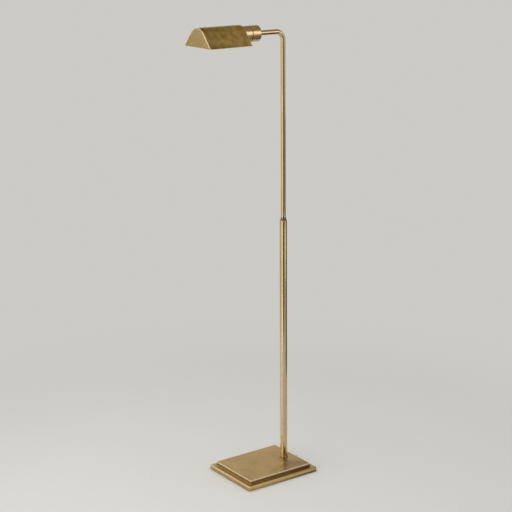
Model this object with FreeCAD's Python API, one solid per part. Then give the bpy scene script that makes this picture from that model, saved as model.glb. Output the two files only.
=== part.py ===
import FreeCAD, Part
import math
import os

# Height-adjustable reading lamp in antique brass, with a tent-shaped shade that turns on its arm.
# Frame: origin on the floor under the middle of the base, +Z up, the arm reaches towards -X.
# All sizes are in millimetres.

V = FreeCAD.Vector
UP = V(0, 0, 1)
ALONG = V(-1, 0, 0)
BACK = V(1, 0, 0)
FAR_SIDE = V(0, 1, 0)

# Fits between pieces
SEAT = 0.05          # radial room round a piece that is pressed, screwed or brazed in
RUN = 0.05           # radial running clearance of a piece that turns or slides
FACE = 0.1           # gap between flat faces that turn or slide on each other
CLEAR = 0.3          # radial room round a piece that only passes through
ROUND_FLATS = 3      # flats that make up a small turned round

# Base
PAD_T = 1.5
PAD_INSET = 6.0
LOWER_L = 280.0
LOWER_W = 234.0
LOWER_T = 14.5
LOWER_CORNER_R = 7.0
LOWER_ROUND = 4.5
LEDGE = 17.0
UPPER_T = 12.0
UPPER_CORNER_R = 2.5
UPPER_BEVEL = 1.0
COLUMN_INSET = 54.0    # from the back edge of the base to the column's axis
PLATE_SCREW_D = 6.0
PLATE_SCREW_HEAD_D = 12.0
PLATE_SCREW_GRIP = 9.0
PLATE_SCREW_INSET = 24.0
PLATE_SCREW_SINK = 0.4

# Threaded stud that ties the column to the base
STUD_D = 10.0
STUD_BORE = 7.0
RECESS_D = 36.0
RECESS_DEPTH = 9.0
WASHER_D = 28.0
WASHER_T = 2.0
NUT_FLATS = 17.0
NUT_T = 5.5

# Lead inlet in the back edge of the base
INLET_BORE = 7.0
INLET_BUSH_D = 10.0
INLET_FLANGE_D = 14.0
INLET_FLANGE_T = 2.0
INLET_WALL = 12.0
LEAD_GROOVE_W = 8.0
LEAD_GROOVE_ROOF = 3.5

# Column
COLUMN_D = 24.0
COLUMN_WALL = 1.5
COLUMN_TOP = 858.0
FOOT_RING_D = 28.5
FOOT_RING_H = 5.0
FOOT_RING_ROUND = 1.8
PLUG_H = 26.0
STUD_REACH = 22.0

# Bush at the top of the column
BUSH_FLANGE_T = 2.2
BUSH_SHOULDER = 1.2
BUSH_DEPTH = 28.0
NECK_H = 9.0
NECK_FOOT_D = 18.8
NECK_TOP_D = 17.4
LINER_WALL = 1.0
LINER_L = 24.0

# Mast: one bent tube with its stop, slider and end fittings
MAST_D = 16.0
MAST_WALL = 1.2
ARM_Z = 1468.0
BEND_R = 26.0
ARM_REACH = 99.5
STOP_H = 8.0
STOP_D = 20.3
SLIDER_H = 38.0
BRAKE_RING_T = 2.0
BRAKE_RING_PLACES = (0.25, 0.75)
CLIP_T = 1.5
CLIP_D = 19.4
MAST_TAIL = 4.0
END_BUSH_H = 8.0
END_BUSH_FLANGE = 1.5
END_BUSH_BORE = 8.0

# Round cup in two halves: the rear half stays on the arm, the front half turns with the shade
CUP_D = 51.0
CUP_WALL = 1.5
CUP_EDGE_R = 2.0
REAR_CUP_L = 32.4
SEAM = 1.8
FRONT_CUP_L = 32.4
CUP_SEAM_BEVEL = 0.5
SWIVEL_PLATE_T = 2.0
SPACER_D = 15.0
ARM_PLUG_L = 16.0
NIPPLE_IN_PLUG = 14.0
FRICTION_WASHER_D = 22.0
THRUST_WASHER_T = 1.0
SPRING_WASHER_D = 20.0
SPRING_WASHER_T = 0.6
SPRING_WASHER_DISH = 0.8
SWIVEL_NUT_T = 5.0
NIPPLE_PROUD = 1.5
STOP_PIN_D = 3.0
STOP_PIN_AT = 13.5
STOP_PIN_PROUD = 1.2
TILT_EACH_WAY = 90.0

# Shade: one folded sheet with two flanged end panels
SHADE_L = 156.0
SHADE_W = 142.0
SHADE_H = 59.5
SHADE_BELOW_AXIS = 29.8
RIDGE_R = 44.5
SHEET_T = 1.6
PANEL_T = 1.2
PANEL_SETBACK = 2.0
PANEL_FLANGE = 7.0
SHADE_SCREWS = 3
SHADE_SCREW_D = 3.0
SHADE_SCREW_HEAD_D = 5.6
SHADE_SCREW_HEAD_H = 1.8
CUP_LIP_INNER_D = 37.2

# Lampholder on its bracket
BRACKET_W = 12.0
BRACKET_T = 1.5
BRACKET_FOOT = 5.6
BRACKET_STANDOFF = 12.2
BRACKET_SCREW_D = 2.6
BRACKET_SCREW_HEAD_D = 4.6
BRACKET_SCREW_HEAD_H = 1.4
HOLDER_D = 34.0
HOLDER_L = 44.0
HOLDER_BORE = 28.6
HOLDER_BORE_DEPTH = 28.0
HOLDER_ROUND = 1.5
SHELL_WALL = 0.5
SHELL_L = 24.0
CONTACT_D = 10.0
CONTACT_T = 1.4

# Bulb, the slim tubular kind
CAP_D = 26.0
CAP_L = 25.0
CAP_TIP_D = 10.0
CAP_TIP_H = 2.0
CAP_WALL = 0.6
GLASS_D = 32.0
GLASS_L = 112.0
GLASS_WALL = 0.8
GLASS_NECK_IN = 5.0
GLASS_SHOULDER = 12.0
GLASS_END_FLATS = 4

# Rotary switch on the far side of the front cup
SWITCH_BACK = 6.0
SHAFT_D = 4.0
SHAFT_IN_HOLDER = 6.0
SHAFT_IN_KNOB = 9.0
SWITCH_BUSH_D = 8.0
SWITCH_BUSH_FLANGE_D = 11.0
SWITCH_BUSH_FLANGE_T = 1.4
KNOB_D = 12.0
KNOB_L = 13.0
KNOB_GROOVES = 12
KNOB_GROOVE_DEPTH = 0.8

# Places worked out from the sizes above
COLUMN_X = LOWER_L / 2 - COLUMN_INSET
PLATE_Z = PAD_T
STEP_Z = PLATE_Z + LOWER_T
DECK_Z = STEP_Z + UPPER_T
UPPER_L = LOWER_L - 2 * LEDGE
UPPER_W = LOWER_W - 2 * LEDGE
COLUMN_BORE = COLUMN_D - 2 * COLUMN_WALL
MAST_BORE = MAST_D - 2 * MAST_WALL
TUBE_TOP = COLUMN_TOP - BUSH_FLANGE_T
BUSH_FOOT = TUBE_TOP - BUSH_DEPTH
STOP_TOP = BUSH_FOOT - FACE
SLIDER_TOP = STOP_TOP - STOP_H - FACE
SLIDER_FOOT = SLIDER_TOP - SLIDER_H
CLIP_TOP = SLIDER_FOOT - FACE
MAST_END = CLIP_TOP - CLIP_T - MAST_TAIL
RECESS_TOP = PLATE_Z + RECESS_DEPTH
INLET_Z = PLATE_Z + LOWER_T / 2
SEAM_AT = REAR_CUP_L
WALL_AT = SEAM_AT + SEAM
SHADE_AT = WALL_AT + FRONT_CUP_L
PANEL_AT = SHADE_AT + PANEL_SETBACK
WASHERS_AT = WALL_AT + CUP_WALL
SPRING_AT = WASHERS_AT + FACE + THRUST_WASHER_T
NUT_AT = SPRING_AT + SPRING_WASHER_T + SPRING_WASHER_DISH
NIPPLE_END = NUT_AT + SWIVEL_NUT_T + NIPPLE_PROUD
HOLDER_AT = WASHERS_AT + BRACKET_STANDOFF
MOUTH_AT = HOLDER_AT + HOLDER_L
BORE_END_AT = MOUTH_AT - HOLDER_BORE_DEPTH
CAP_AT = BORE_END_AT + CONTACT_T + FACE
SWITCH_AT = HOLDER_AT + SWITCH_BACK
BRACKET_HALF = STOP_PIN_AT + STOP_PIN_D / 2 + CLEAR + BRACKET_T


def on_axis(along, side=0.0, above=0.0):
    """Point of the head: along the arm from the cup's rear face, to the far side, and above the axis."""
    return V(COLUMN_X - ARM_REACH - along, side, ARM_Z + above)


def rod(start, direction, diameter, length):
    return Part.makeCylinder(diameter / 2, length, start, direction)


def ring(start, direction, outer_d, inner_d, length):
    return rod(start, direction, outer_d, length).cut(rod(start, direction, inner_d, length))


def lathe(outline, start, direction):
    """Turned solid: outline is a closed list of (radius, height) corners about the axis at start."""
    corners = [V(radius, 0, height) for radius, height in outline]
    face = Part.Face(Part.makePolygon(corners + corners[:1]))
    solid = face.revolve(V(0, 0, 0), UP, 360)
    solid.Placement = FreeCAD.Placement(start, FreeCAD.Rotation(UP, direction))
    return solid


def turned_round(outer_r, top, size, flats=ROUND_FLATS):
    """Outline points of a turned round at an outer top corner, made of a few flats."""
    angles = [math.pi / 2 * k / flats for k in range(flats + 1)]
    return [(outer_r - size * (1 - math.cos(angle)), top - size * (1 - math.sin(angle))) for angle in angles]


def hexagon(start, direction, flats, length):
    """Hexagonal bar whose width across the flats is given."""
    corner_r = flats / math.sqrt(3)
    turns = [k * math.pi / 3 for k in range(6)]
    corners = [V(corner_r * math.cos(turn), corner_r * math.sin(turn), 0) for turn in turns]
    bar = Part.Face(Part.makePolygon(corners + corners[:1])).extrude(UP * length)
    bar.Placement = FreeCAD.Placement(start, FreeCAD.Rotation(UP, direction))
    return bar


def nut(start, direction, flats, thickness, thread_d):
    """Hexagon nut, bored to its thread."""
    bore = rod(start, direction, thread_d + 2 * SEAT, thickness)
    return hexagon(start, direction, flats, thickness).cut(bore)


def rounded(shape, radius, wanted):
    """Rounds every edge that the test function wanted accepts."""
    return shape.makeFillet(radius, [edge for edge in shape.Edges if wanted(edge)])


def is_upright(edge):
    return len(edge.Vertexes) == 2 and edge.BoundBox.ZLength > 1e-3 and edge.BoundBox.XLength < 1e-3


def lies_at(height):
    return lambda edge: abs(edge.BoundBox.ZMin - height) < 1e-3 and abs(edge.BoundBox.ZMax - height) < 1e-3


def plate(length, width, thickness, foot, corner_r):
    block = Part.makeBox(length, width, thickness, V(-length / 2, -width / 2, foot))
    return rounded(block, corner_r, is_upright)


def plate_screw_places():
    across = UPPER_L / 2 - PLATE_SCREW_INSET
    aside = UPPER_W / 2 - PLATE_SCREW_INSET
    return [(x, y) for x in (-across, across) for y in (-aside, aside)]


def felt_pad():
    return plate(LOWER_L - 2 * PAD_INSET, LOWER_W - 2 * PAD_INSET, PAD_T, 0, LOWER_CORNER_R)


def base_lower_plate():
    """Weighted lower step, with a recess for the nut and a groove for the lead under it."""
    solid = plate(LOWER_L, LOWER_W, LOWER_T, PLATE_Z, LOWER_CORNER_R)
    solid = rounded(solid, LOWER_ROUND, lies_at(STEP_Z))
    solid = solid.cut(rod(V(COLUMN_X, 0, PLATE_Z), UP, RECESS_D, RECESS_DEPTH))
    solid = solid.cut(rod(V(COLUMN_X, 0, PLATE_Z), UP, STUD_D + 2 * CLEAR, LOWER_T))
    groove_end = LOWER_L / 2 - INLET_WALL
    groove = Part.makeBox(groove_end - COLUMN_X, LEAD_GROOVE_W, LOWER_T - LEAD_GROOVE_ROOF,
                          V(COLUMN_X, -LEAD_GROOVE_W / 2, PLATE_Z))
    solid = solid.cut(groove)
    solid = solid.cut(rod(V(groove_end, 0, INLET_Z), BACK, INLET_BUSH_D + 2 * SEAT, INLET_WALL))
    for x, y in plate_screw_places():
        solid = solid.cut(rod(V(x, y, PLATE_Z), UP, PLATE_SCREW_D + 2 * CLEAR, LOWER_T))
        solid = solid.cut(screw_cone(x, y, PLATE_Z, PLATE_SCREW_HEAD_D / 2 + PLATE_SCREW_SINK + CLEAR,
                                     PLATE_SCREW_D / 2 + CLEAR))
    return solid


def screw_cone(x, y, foot, head_r, shank_r):
    """Right-angled cone of a countersunk head, or of the seat for one."""
    return Part.makeCone(head_r, shank_r, head_r - shank_r, V(x, y, foot), UP)


def plate_screws():
    """Four countersunk screws that hold the upper plate from below."""
    screws = []
    for x, y in plate_screw_places():
        foot = PLATE_Z + PLATE_SCREW_SINK
        shank = rod(V(x, y, foot), UP, PLATE_SCREW_D, STEP_Z + PLATE_SCREW_GRIP - foot)
        head = screw_cone(x, y, foot, PLATE_SCREW_HEAD_D / 2, PLATE_SCREW_D / 2)
        screws.append(shank.fuse(head).removeSplitter())
    return Part.makeCompound(screws)


def base_upper_plate():
    solid = plate(UPPER_L, UPPER_W, UPPER_T, STEP_Z, UPPER_CORNER_R)
    rim = [edge for edge in solid.Edges if lies_at(DECK_Z)(edge)]
    solid = solid.makeChamfer(UPPER_BEVEL, rim)
    solid = solid.cut(rod(V(COLUMN_X, 0, STEP_Z), UP, STUD_D + 2 * CLEAR, UPPER_T))
    for x, y in plate_screw_places():
        solid = solid.cut(rod(V(x, y, STEP_Z), UP, PLATE_SCREW_D + 2 * SEAT, PLATE_SCREW_GRIP + CLEAR))
    return solid


def cord_bush():
    """Flanged bush that lines the lead's way in, at the back edge of the base."""
    mouth = LOWER_L / 2
    body = ring(V(mouth - INLET_WALL, 0, INLET_Z), BACK, INLET_BUSH_D, INLET_BORE, INLET_WALL)
    bore_r = INLET_BORE / 2
    rim_r = INLET_FLANGE_D / 2
    bevel = INLET_FLANGE_T / 3
    flange = lathe([(bore_r, 0), (rim_r, 0), (rim_r, INLET_FLANGE_T - bevel), (rim_r - bevel, INLET_FLANGE_T),
                    (bore_r, INLET_FLANGE_T)], V(mouth, 0, INLET_Z), BACK)
    return body.fuse(flange).removeSplitter()


def stud_washer():
    return ring(V(COLUMN_X, 0, RECESS_TOP - WASHER_T), UP, WASHER_D, STUD_D + 2 * CLEAR, WASHER_T)


def stud_nut():
    return nut(V(COLUMN_X, 0, RECESS_TOP - WASHER_T - NUT_T), UP, NUT_FLATS, NUT_T, STUD_D)


def base_stud():
    """Hollow threaded stud, so that the lead can pass up into the column."""
    foot = RECESS_TOP - WASHER_T - NUT_T
    return ring(V(COLUMN_X, 0, foot), UP, STUD_D, STUD_BORE, DECK_Z + STUD_REACH - foot)


def foot_ring():
    """Turned ring that hides the joint of column and base, rounded at its top."""
    rim_r = FOOT_RING_D / 2
    hole_r = COLUMN_D / 2 + SEAT
    top_round = turned_round(rim_r, FOOT_RING_H, min(FOOT_RING_ROUND, 0.8 * (rim_r - hole_r)))
    return lathe([(hole_r, 0), (rim_r, 0)] + top_round + [(hole_r, FOOT_RING_H)], V(COLUMN_X, 0, DECK_Z), UP)


def column_plug():
    return ring(V(COLUMN_X, 0, DECK_Z), UP, COLUMN_BORE - 2 * SEAT, STUD_D + 2 * SEAT, PLUG_H)


def column_tube():
    return ring(V(COLUMN_X, 0, DECK_Z), UP, COLUMN_D, COLUMN_BORE, TUBE_TOP - DECK_Z)


def top_bush():
    """Turned bush that closes the column round the mast and carries the liner."""
    liner_r = MAST_D / 2 + RUN + LINER_WALL + SEAT
    pass_r = MAST_D / 2 + 2 * RUN
    body_r = COLUMN_BORE / 2 - SEAT
    flange_r = COLUMN_D / 2
    neck_foot = BUSH_DEPTH + BUSH_FLANGE_T
    return lathe([(liner_r, 0), (body_r, 0), (body_r, BUSH_DEPTH), (flange_r, BUSH_DEPTH),
                  (flange_r, neck_foot - BUSH_SHOULDER), (flange_r - BUSH_SHOULDER, neck_foot),
                  (NECK_FOOT_D / 2, neck_foot), (NECK_TOP_D / 2, neck_foot + NECK_H),
                  (pass_r, neck_foot + NECK_H), (pass_r, LINER_L), (liner_r, LINER_L)],
                 V(COLUMN_X, 0, BUSH_FOOT), UP)


def bush_liner():
    return ring(V(COLUMN_X, 0, BUSH_FOOT), UP, MAST_D + 2 * RUN + 2 * LINER_WALL, MAST_D + 2 * RUN, LINER_L)


def mast_slider():
    """Guide that slides in the column and lets the mast turn in it."""
    bore_r = MAST_D / 2 + RUN
    body_r = COLUMN_BORE / 2 - RUN
    solid = ring(V(COLUMN_X, 0, SLIDER_FOOT), UP, 2 * body_r, 2 * bore_r, SLIDER_H)
    for height in brake_ring_heights():
        solid = solid.cut(ring(V(COLUMN_X, 0, height), UP, 2 * body_r + 1, brake_ring_seat(), BRAKE_RING_T))
    return solid


def brake_ring_heights():
    return [SLIDER_FOOT + SLIDER_H * place - BRAKE_RING_T / 2 for place in BRAKE_RING_PLACES]


def brake_ring_seat():
    """Diameter of the groove's floor, half way through the slider's wall."""
    return (MAST_D + COLUMN_BORE) / 2


def brake_rings():
    outer_d = COLUMN_BORE - 2 * RUN
    inner_d = brake_ring_seat() + 2 * SEAT
    rings = [ring(V(COLUMN_X, 0, height), UP, outer_d, inner_d, BRAKE_RING_T)
             for height in brake_ring_heights()]
    return Part.makeCompound(rings)


def bent_bar(diameter):
    """Solid bar along the mast's line: up the column, round the bend and out along the arm."""
    upright = rod(V(COLUMN_X, 0, MAST_END), UP, diameter, ARM_Z - BEND_R - MAST_END)
    arm = rod(V(COLUMN_X - BEND_R, 0, ARM_Z), ALONG, diameter, ARM_REACH - BEND_R)
    section = Part.Face(Part.Wire(Part.makeCircle(diameter / 2, V(COLUMN_X, 0, ARM_Z - BEND_R), UP)))
    bend = section.revolve(V(COLUMN_X - BEND_R, 0, ARM_Z - BEND_R), V(0, -1, 0), 90)
    return upright.fuse([bend, arm]).removeSplitter()


def mast_tube():
    return bent_bar(MAST_D).cut(bent_bar(MAST_BORE))


def stop_collar():
    return ring(V(COLUMN_X, 0, STOP_TOP - STOP_H), UP, STOP_D, MAST_D + 2 * SEAT, STOP_H)


def slider_clip():
    """Retaining ring under the slider, open at one side as such rings are."""
    whole = ring(V(COLUMN_X, 0, CLIP_TOP - CLIP_T), UP, CLIP_D, MAST_D + 2 * SEAT, CLIP_T)
    gap = Part.makeBox(CLIP_D, MAST_D / 3, CLIP_T, V(COLUMN_X, -MAST_D / 6, CLIP_TOP - CLIP_T))
    return whole.cut(gap)


def mast_end_bush():
    """Plastic bush in the mast's cut end, where the lead passes."""
    sleeve = ring(V(COLUMN_X, 0, MAST_END), UP, MAST_BORE - 2 * SEAT, END_BUSH_BORE, END_BUSH_H)
    flange_foot = V(COLUMN_X, 0, MAST_END - END_BUSH_FLANGE)
    flange = ring(flange_foot, UP, MAST_D - CLEAR, END_BUSH_BORE, END_BUSH_FLANGE)
    return sleeve.fuse(flange).removeSplitter()


def arm_plug():
    return ring(on_axis(0), BACK, MAST_BORE - 2 * SEAT, STUD_D + 2 * SEAT, ARM_PLUG_L)


def swivel_nipple():
    """Hollow threaded axle of the head, from the plug in the arm to the nut in the front cup."""
    return ring(on_axis(-NIPPLE_IN_PLUG), ALONG, STUD_D, STUD_BORE, NIPPLE_IN_PLUG + NIPPLE_END)


def rear_cup():
    """Rear half of the round cup, turned from its mouth to the rounded edge on the arm's side."""
    outer_r = CUP_D / 2
    inner_r = outer_r - CUP_WALL
    hole_r = STUD_D / 2 + SEAT
    floor = REAR_CUP_L - CUP_WALL
    return lathe([(inner_r, 0), (outer_r - CUP_SEAM_BEVEL, 0), (outer_r, CUP_SEAM_BEVEL)]
                 + turned_round(outer_r, REAR_CUP_L, CUP_EDGE_R)
                 + [(hole_r, REAR_CUP_L), (hole_r, floor), (inner_r, floor)], on_axis(REAR_CUP_L), BACK)


def swivel_spacer():
    length = SEAM_AT - SWIVEL_PLATE_T - CUP_WALL
    return ring(on_axis(CUP_WALL), ALONG, SPACER_D, STUD_D + 2 * SEAT, length)


def swivel_plate():
    """Disc in the mouth of the rear cup, which the front cup turns against."""
    disc = ring(on_axis(SEAM_AT - SWIVEL_PLATE_T), ALONG, CUP_D - 2 * CUP_WALL - 2 * SEAT, STUD_D + 2 * SEAT,
                SWIVEL_PLATE_T)
    return disc.cut(rod(on_axis(SEAM_AT - SWIVEL_PLATE_T, 0, -STOP_PIN_AT), ALONG, STOP_PIN_D + 2 * SEAT,
                        SWIVEL_PLATE_T))


def stop_pin():
    return rod(on_axis(SEAM_AT - SWIVEL_PLATE_T, 0, -STOP_PIN_AT), ALONG, STOP_PIN_D,
               SWIVEL_PLATE_T + SEAM + CUP_WALL + STOP_PIN_PROUD)


def friction_washer():
    return ring(on_axis(SEAM_AT), ALONG, FRICTION_WASHER_D, STUD_D + 2 * SEAT, SEAM - FACE)


def thrust_washer():
    return ring(on_axis(WASHERS_AT + FACE), ALONG, SPRING_WASHER_D, STUD_D + 2 * SEAT, THRUST_WASHER_T)


def spring_washer():
    """Dished spring washer that keeps the head's friction even."""
    inner_r = STUD_D / 2 + SEAT
    outer_r = SPRING_WASHER_D / 2
    return lathe([(inner_r, SPRING_WASHER_DISH), (outer_r, 0), (outer_r, SPRING_WASHER_T),
                  (inner_r, SPRING_WASHER_DISH + SPRING_WASHER_T)], on_axis(SPRING_AT), ALONG)


def swivel_nut():
    return nut(on_axis(NUT_AT), ALONG, NUT_FLATS, SWIVEL_NUT_T, STUD_D)


def stop_slot():
    """Curved slot for the stop pin, as long as the head's travel."""
    half = math.radians(TILT_EACH_WAY)
    width = STOP_PIN_D + 2 * CLEAR
    band = ring(on_axis(WALL_AT), ALONG, 2 * STOP_PIN_AT + width, 2 * STOP_PIN_AT - width, CUP_WALL)
    ends = []
    for side in (-1, 1):
        y = side * STOP_PIN_AT * math.sin(half)
        z = -STOP_PIN_AT * math.cos(half)
        ends.append(rod(on_axis(WALL_AT, y, z), ALONG, width, CUP_WALL))
    reach = CUP_D
    steps = 8
    fan = [V(0, 0, 0)]
    for k in range(steps + 1):
        angle = half * (2 * k / steps - 1)
        fan.append(V(0, reach * math.sin(angle), -reach * math.cos(angle)))
    wedge = Part.Face(Part.makePolygon(fan + fan[:1])).extrude(ALONG * CUP_WALL)
    wedge.translate(on_axis(WALL_AT))
    return band.common(wedge).fuse(ends)


def shade_screw_places():
    """Screw centres round the axis, half way across the lip of the front cup."""
    at_r = (CUP_LIP_INNER_D + CUP_D - 2 * CUP_WALL) / 4
    angles = [math.pi / 2 + 2 * math.pi * k / SHADE_SCREWS for k in range(SHADE_SCREWS)]
    return [(at_r * math.cos(angle), at_r * math.sin(angle)) for angle in angles]


def bracket_screw_places():
    return [side * (BRACKET_HALF + BRACKET_FOOT / 2) for side in (-1, 1)]


def front_cup():
    """Front half of the cup: a wall that turns on the axle, and a lip that the shade is screwed to."""
    length = FRONT_CUP_L + PANEL_SETBACK
    shell = rod(on_axis(WALL_AT), ALONG, CUP_D, length)
    rim = [edge for edge in shell.Edges if edge.BoundBox.XMin > on_axis(WALL_AT).x - 1e-3 and edge.Closed]
    shell = shell.makeChamfer(CUP_SEAM_BEVEL, rim)
    hollow = rod(on_axis(WASHERS_AT), ALONG, CUP_D - 2 * CUP_WALL, length - 2 * CUP_WALL)
    shell = shell.cut(hollow)
    shell = shell.cut(rod(on_axis(WASHERS_AT), ALONG, CUP_LIP_INNER_D, length))
    shell = shell.cut(rod(on_axis(WALL_AT), ALONG, STUD_D + 2 * RUN, CUP_WALL))
    shell = shell.cut(stop_slot())
    for y, z in shade_screw_places():
        shell = shell.cut(rod(on_axis(PANEL_AT - CUP_WALL, y, z), ALONG, SHADE_SCREW_D + 2 * SEAT, CUP_WALL))
    for z in bracket_screw_places():
        shell = shell.cut(rod(on_axis(WALL_AT, 0, z), ALONG, BRACKET_SCREW_D + 2 * SEAT, CUP_WALL))
    return shell.cut(rod(on_axis(SWITCH_AT), FAR_SIDE, SWITCH_BUSH_D + 2 * SEAT, CUP_D))


def socket_bracket():
    """Bent strap that stands on the cup's wall and carries the lampholder over the nut."""
    foot_end = BRACKET_HALF + BRACKET_FOOT
    top = BRACKET_STANDOFF
    inner = top - BRACKET_T
    half = BRACKET_HALF
    outline = [(0, -foot_end), (0, -half + BRACKET_T), (inner, -half + BRACKET_T), (inner, half - BRACKET_T),
               (0, half - BRACKET_T), (0, foot_end), (BRACKET_T, foot_end), (BRACKET_T, half), (top, half),
               (top, -half), (BRACKET_T, -half), (BRACKET_T, -foot_end)]
    corners = [on_axis(WASHERS_AT + along, -BRACKET_W / 2, above) for along, above in outline]
    strap = Part.Face(Part.makePolygon(corners + corners[:1])).extrude(FAR_SIDE * BRACKET_W)
    strap = strap.cut(rod(on_axis(HOLDER_AT - BRACKET_T), ALONG, STUD_BORE, BRACKET_T))
    for z in bracket_screw_places():
        strap = strap.cut(rod(on_axis(WASHERS_AT, 0, z), ALONG, BRACKET_SCREW_D + 2 * SEAT, BRACKET_T))
    return strap


def bracket_screws():
    """Two short screws that hold the bracket's feet to the cup's wall."""
    screws = []
    for z in bracket_screw_places():
        shank = rod(on_axis(WALL_AT, 0, z), ALONG, BRACKET_SCREW_D, CUP_WALL + BRACKET_T)
        head = rod(on_axis(WASHERS_AT + BRACKET_T, 0, z), ALONG, BRACKET_SCREW_HEAD_D, BRACKET_SCREW_HEAD_H)
        screws.append(shank.fuse(head).removeSplitter())
    return Part.makeCompound(screws)


def socket_body():
    """Ceramic lampholder with a deep round mouth and a side hole for the switch shaft."""
    bore_r = HOLDER_BORE / 2
    floor = HOLDER_L - HOLDER_BORE_DEPTH
    body = lathe([(0, 0), (HOLDER_D / 2, 0)] + turned_round(HOLDER_D / 2, HOLDER_L, HOLDER_ROUND)
                 + [(bore_r, HOLDER_L), (bore_r, floor), (0, floor)], on_axis(HOLDER_AT), ALONG)
    hole_end = on_axis(SWITCH_AT, HOLDER_D / 2 - SHAFT_IN_HOLDER - CLEAR)
    return body.cut(rod(hole_end, FAR_SIDE, SHAFT_D + 2 * CLEAR, HOLDER_D))


def socket_shell():
    """Screw shell of the lampholder, a thin metal sleeve."""
    outer_d = HOLDER_BORE - 2 * SEAT
    return ring(on_axis(BORE_END_AT + CONTACT_T), ALONG, outer_d, outer_d - 2 * SHELL_WALL, SHELL_L)


def centre_contact():
    return rod(on_axis(BORE_END_AT), ALONG, CONTACT_D, CONTACT_T)


def shade_screws():
    """Screws from inside the shade that hold its rear panel to the cup's lip."""
    screws = []
    for y, z in shade_screw_places():
        shank = rod(on_axis(PANEL_AT - CUP_WALL, y, z), ALONG, SHADE_SCREW_D, CUP_WALL + PANEL_T)
        head = rod(on_axis(PANEL_AT + PANEL_T, y, z), ALONG, SHADE_SCREW_HEAD_D, SHADE_SCREW_HEAD_H)
        screws.append(shank.fuse(head).removeSplitter())
    return Part.makeCompound(screws)


def side_slope():
    """Angle of the shade's flat sides to the floor, where they run smoothly into the ridge."""
    half = SHADE_W / 2
    rise = RIDGE_R - SHADE_H
    return math.asin(RIDGE_R / math.hypot(half, rise)) - math.atan2(rise, half)


def tent(inset, near, far, lowered=0.0):
    """Solid prism of the tent's outline drawn in by inset, from near to far along the axis."""
    slope = side_slope()
    radius = RIDGE_R - inset
    centre_z = SHADE_H - SHADE_BELOW_AXIS - RIDGE_R
    foot_z = -SHADE_BELOW_AXIS - lowered
    touch_y = radius * math.sin(slope)
    touch_z = centre_z + radius * math.cos(slope)
    foot_y = touch_y + (touch_z - foot_z) / math.tan(slope)
    start = [on_axis(near, y, z) for y, z in ((-foot_y, foot_z), (-touch_y, touch_z), (0, centre_z + radius),
                                              (touch_y, touch_z), (foot_y, foot_z))]
    edges = [Part.makeLine(start[0], start[1]), Part.Arc(start[1], start[2], start[3]).toShape(),
             Part.makeLine(start[3], start[4]), Part.makeLine(start[4], start[0])]
    return Part.Face(Part.Wire(edges)).extrude(ALONG * (far - near))


def shade_cover():
    """The folded sheet: two flat sides that run into one large round ridge."""
    end = SHADE_AT + SHADE_L
    return tent(0, SHADE_AT, end).cut(tent(SHEET_T, SHADE_AT, end, SHEET_T))


def end_panel(outer_at, inward):
    """Flat end panel whose edge is turned inward into a flange along the sheet."""
    inset = SHEET_T + SEAT
    plate_end = outer_at + inward * PANEL_T
    flange_end = outer_at + inward * PANEL_FLANGE
    sheet = tent(inset, min(outer_at, plate_end), max(outer_at, plate_end))
    flange = tent(inset, min(outer_at, flange_end), max(outer_at, flange_end))
    flange = flange.cut(tent(inset + PANEL_T, min(outer_at, flange_end), max(outer_at, flange_end), PANEL_T))
    return sheet.fuse(flange).removeSplitter()


def front_panel():
    return end_panel(SHADE_AT + SHADE_L - PANEL_SETBACK, -1)


def rear_panel():
    panel = end_panel(PANEL_AT, 1)
    panel = panel.cut(rod(on_axis(PANEL_AT), ALONG, CUP_LIP_INNER_D, PANEL_T))
    for y, z in shade_screw_places():
        panel = panel.cut(rod(on_axis(PANEL_AT, y, z), ALONG, SHADE_SCREW_D + 2 * SEAT, PANEL_T))
    return panel


def bulb_cap():
    """Hollow screw cap of the bulb with its contact tip."""
    tip_r = CAP_TIP_D / 2
    outer_r = CAP_D / 2
    inner_r = outer_r - CAP_WALL
    shoulder_end = CAP_TIP_H + (outer_r - tip_r) / 2
    return lathe([(0, 0), (tip_r, 0), (tip_r, CAP_TIP_H), (outer_r, shoulder_end), (outer_r, CAP_L),
                  (inner_r, CAP_L), (inner_r, shoulder_end + CAP_WALL), (tip_r, CAP_TIP_H + CAP_WALL),
                  (0, CAP_TIP_H + CAP_WALL)], on_axis(CAP_AT), ALONG)


def glass_solid(shrink):
    """Outer form of the bulb's glass drawn in by shrink: neck, shoulder, straight tube and half-round end."""
    neck_r = CAP_D / 2 - CAP_WALL - SEAT - shrink
    tube_r = GLASS_D / 2 - shrink
    return lathe([(0, 0), (neck_r, 0), (neck_r, GLASS_NECK_IN), (tube_r, GLASS_NECK_IN + GLASS_SHOULDER)]
                 + turned_round(tube_r, GLASS_L - shrink, tube_r, GLASS_END_FLATS),
                 on_axis(CAP_AT + CAP_L - GLASS_NECK_IN), ALONG)


def bulb_glass():
    """Thin glass envelope whose open neck is cemented in the cap."""
    return glass_solid(0).cut(glass_solid(GLASS_WALL))


def switch_bush():
    """Bush in the cup's side wall, saddled to the cup's round, in which the switch shaft turns."""
    inner = HOLDER_D / 2 + CLEAR
    flange_end = CUP_D / 2 + SWITCH_BUSH_FLANGE_T
    stem = rod(on_axis(SWITCH_AT, inner), FAR_SIDE, SWITCH_BUSH_D, flange_end - inner)
    flange = rod(on_axis(SWITCH_AT, CUP_D / 2 - SWITCH_BUSH_D / 2), FAR_SIDE, SWITCH_BUSH_FLANGE_D,
                 flange_end - CUP_D / 2 + SWITCH_BUSH_D / 2)
    saddle = rod(on_axis(WALL_AT), ALONG, CUP_D + 2 * SEAT, FRONT_CUP_L + PANEL_SETBACK)
    bore = rod(on_axis(SWITCH_AT, inner), FAR_SIDE, SHAFT_D + 2 * RUN, flange_end - inner)
    return stem.fuse(flange.cut(saddle)).cut(bore).removeSplitter()


def knob_start():
    return CUP_D / 2 + SWITCH_BUSH_FLANGE_T + CLEAR


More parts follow.
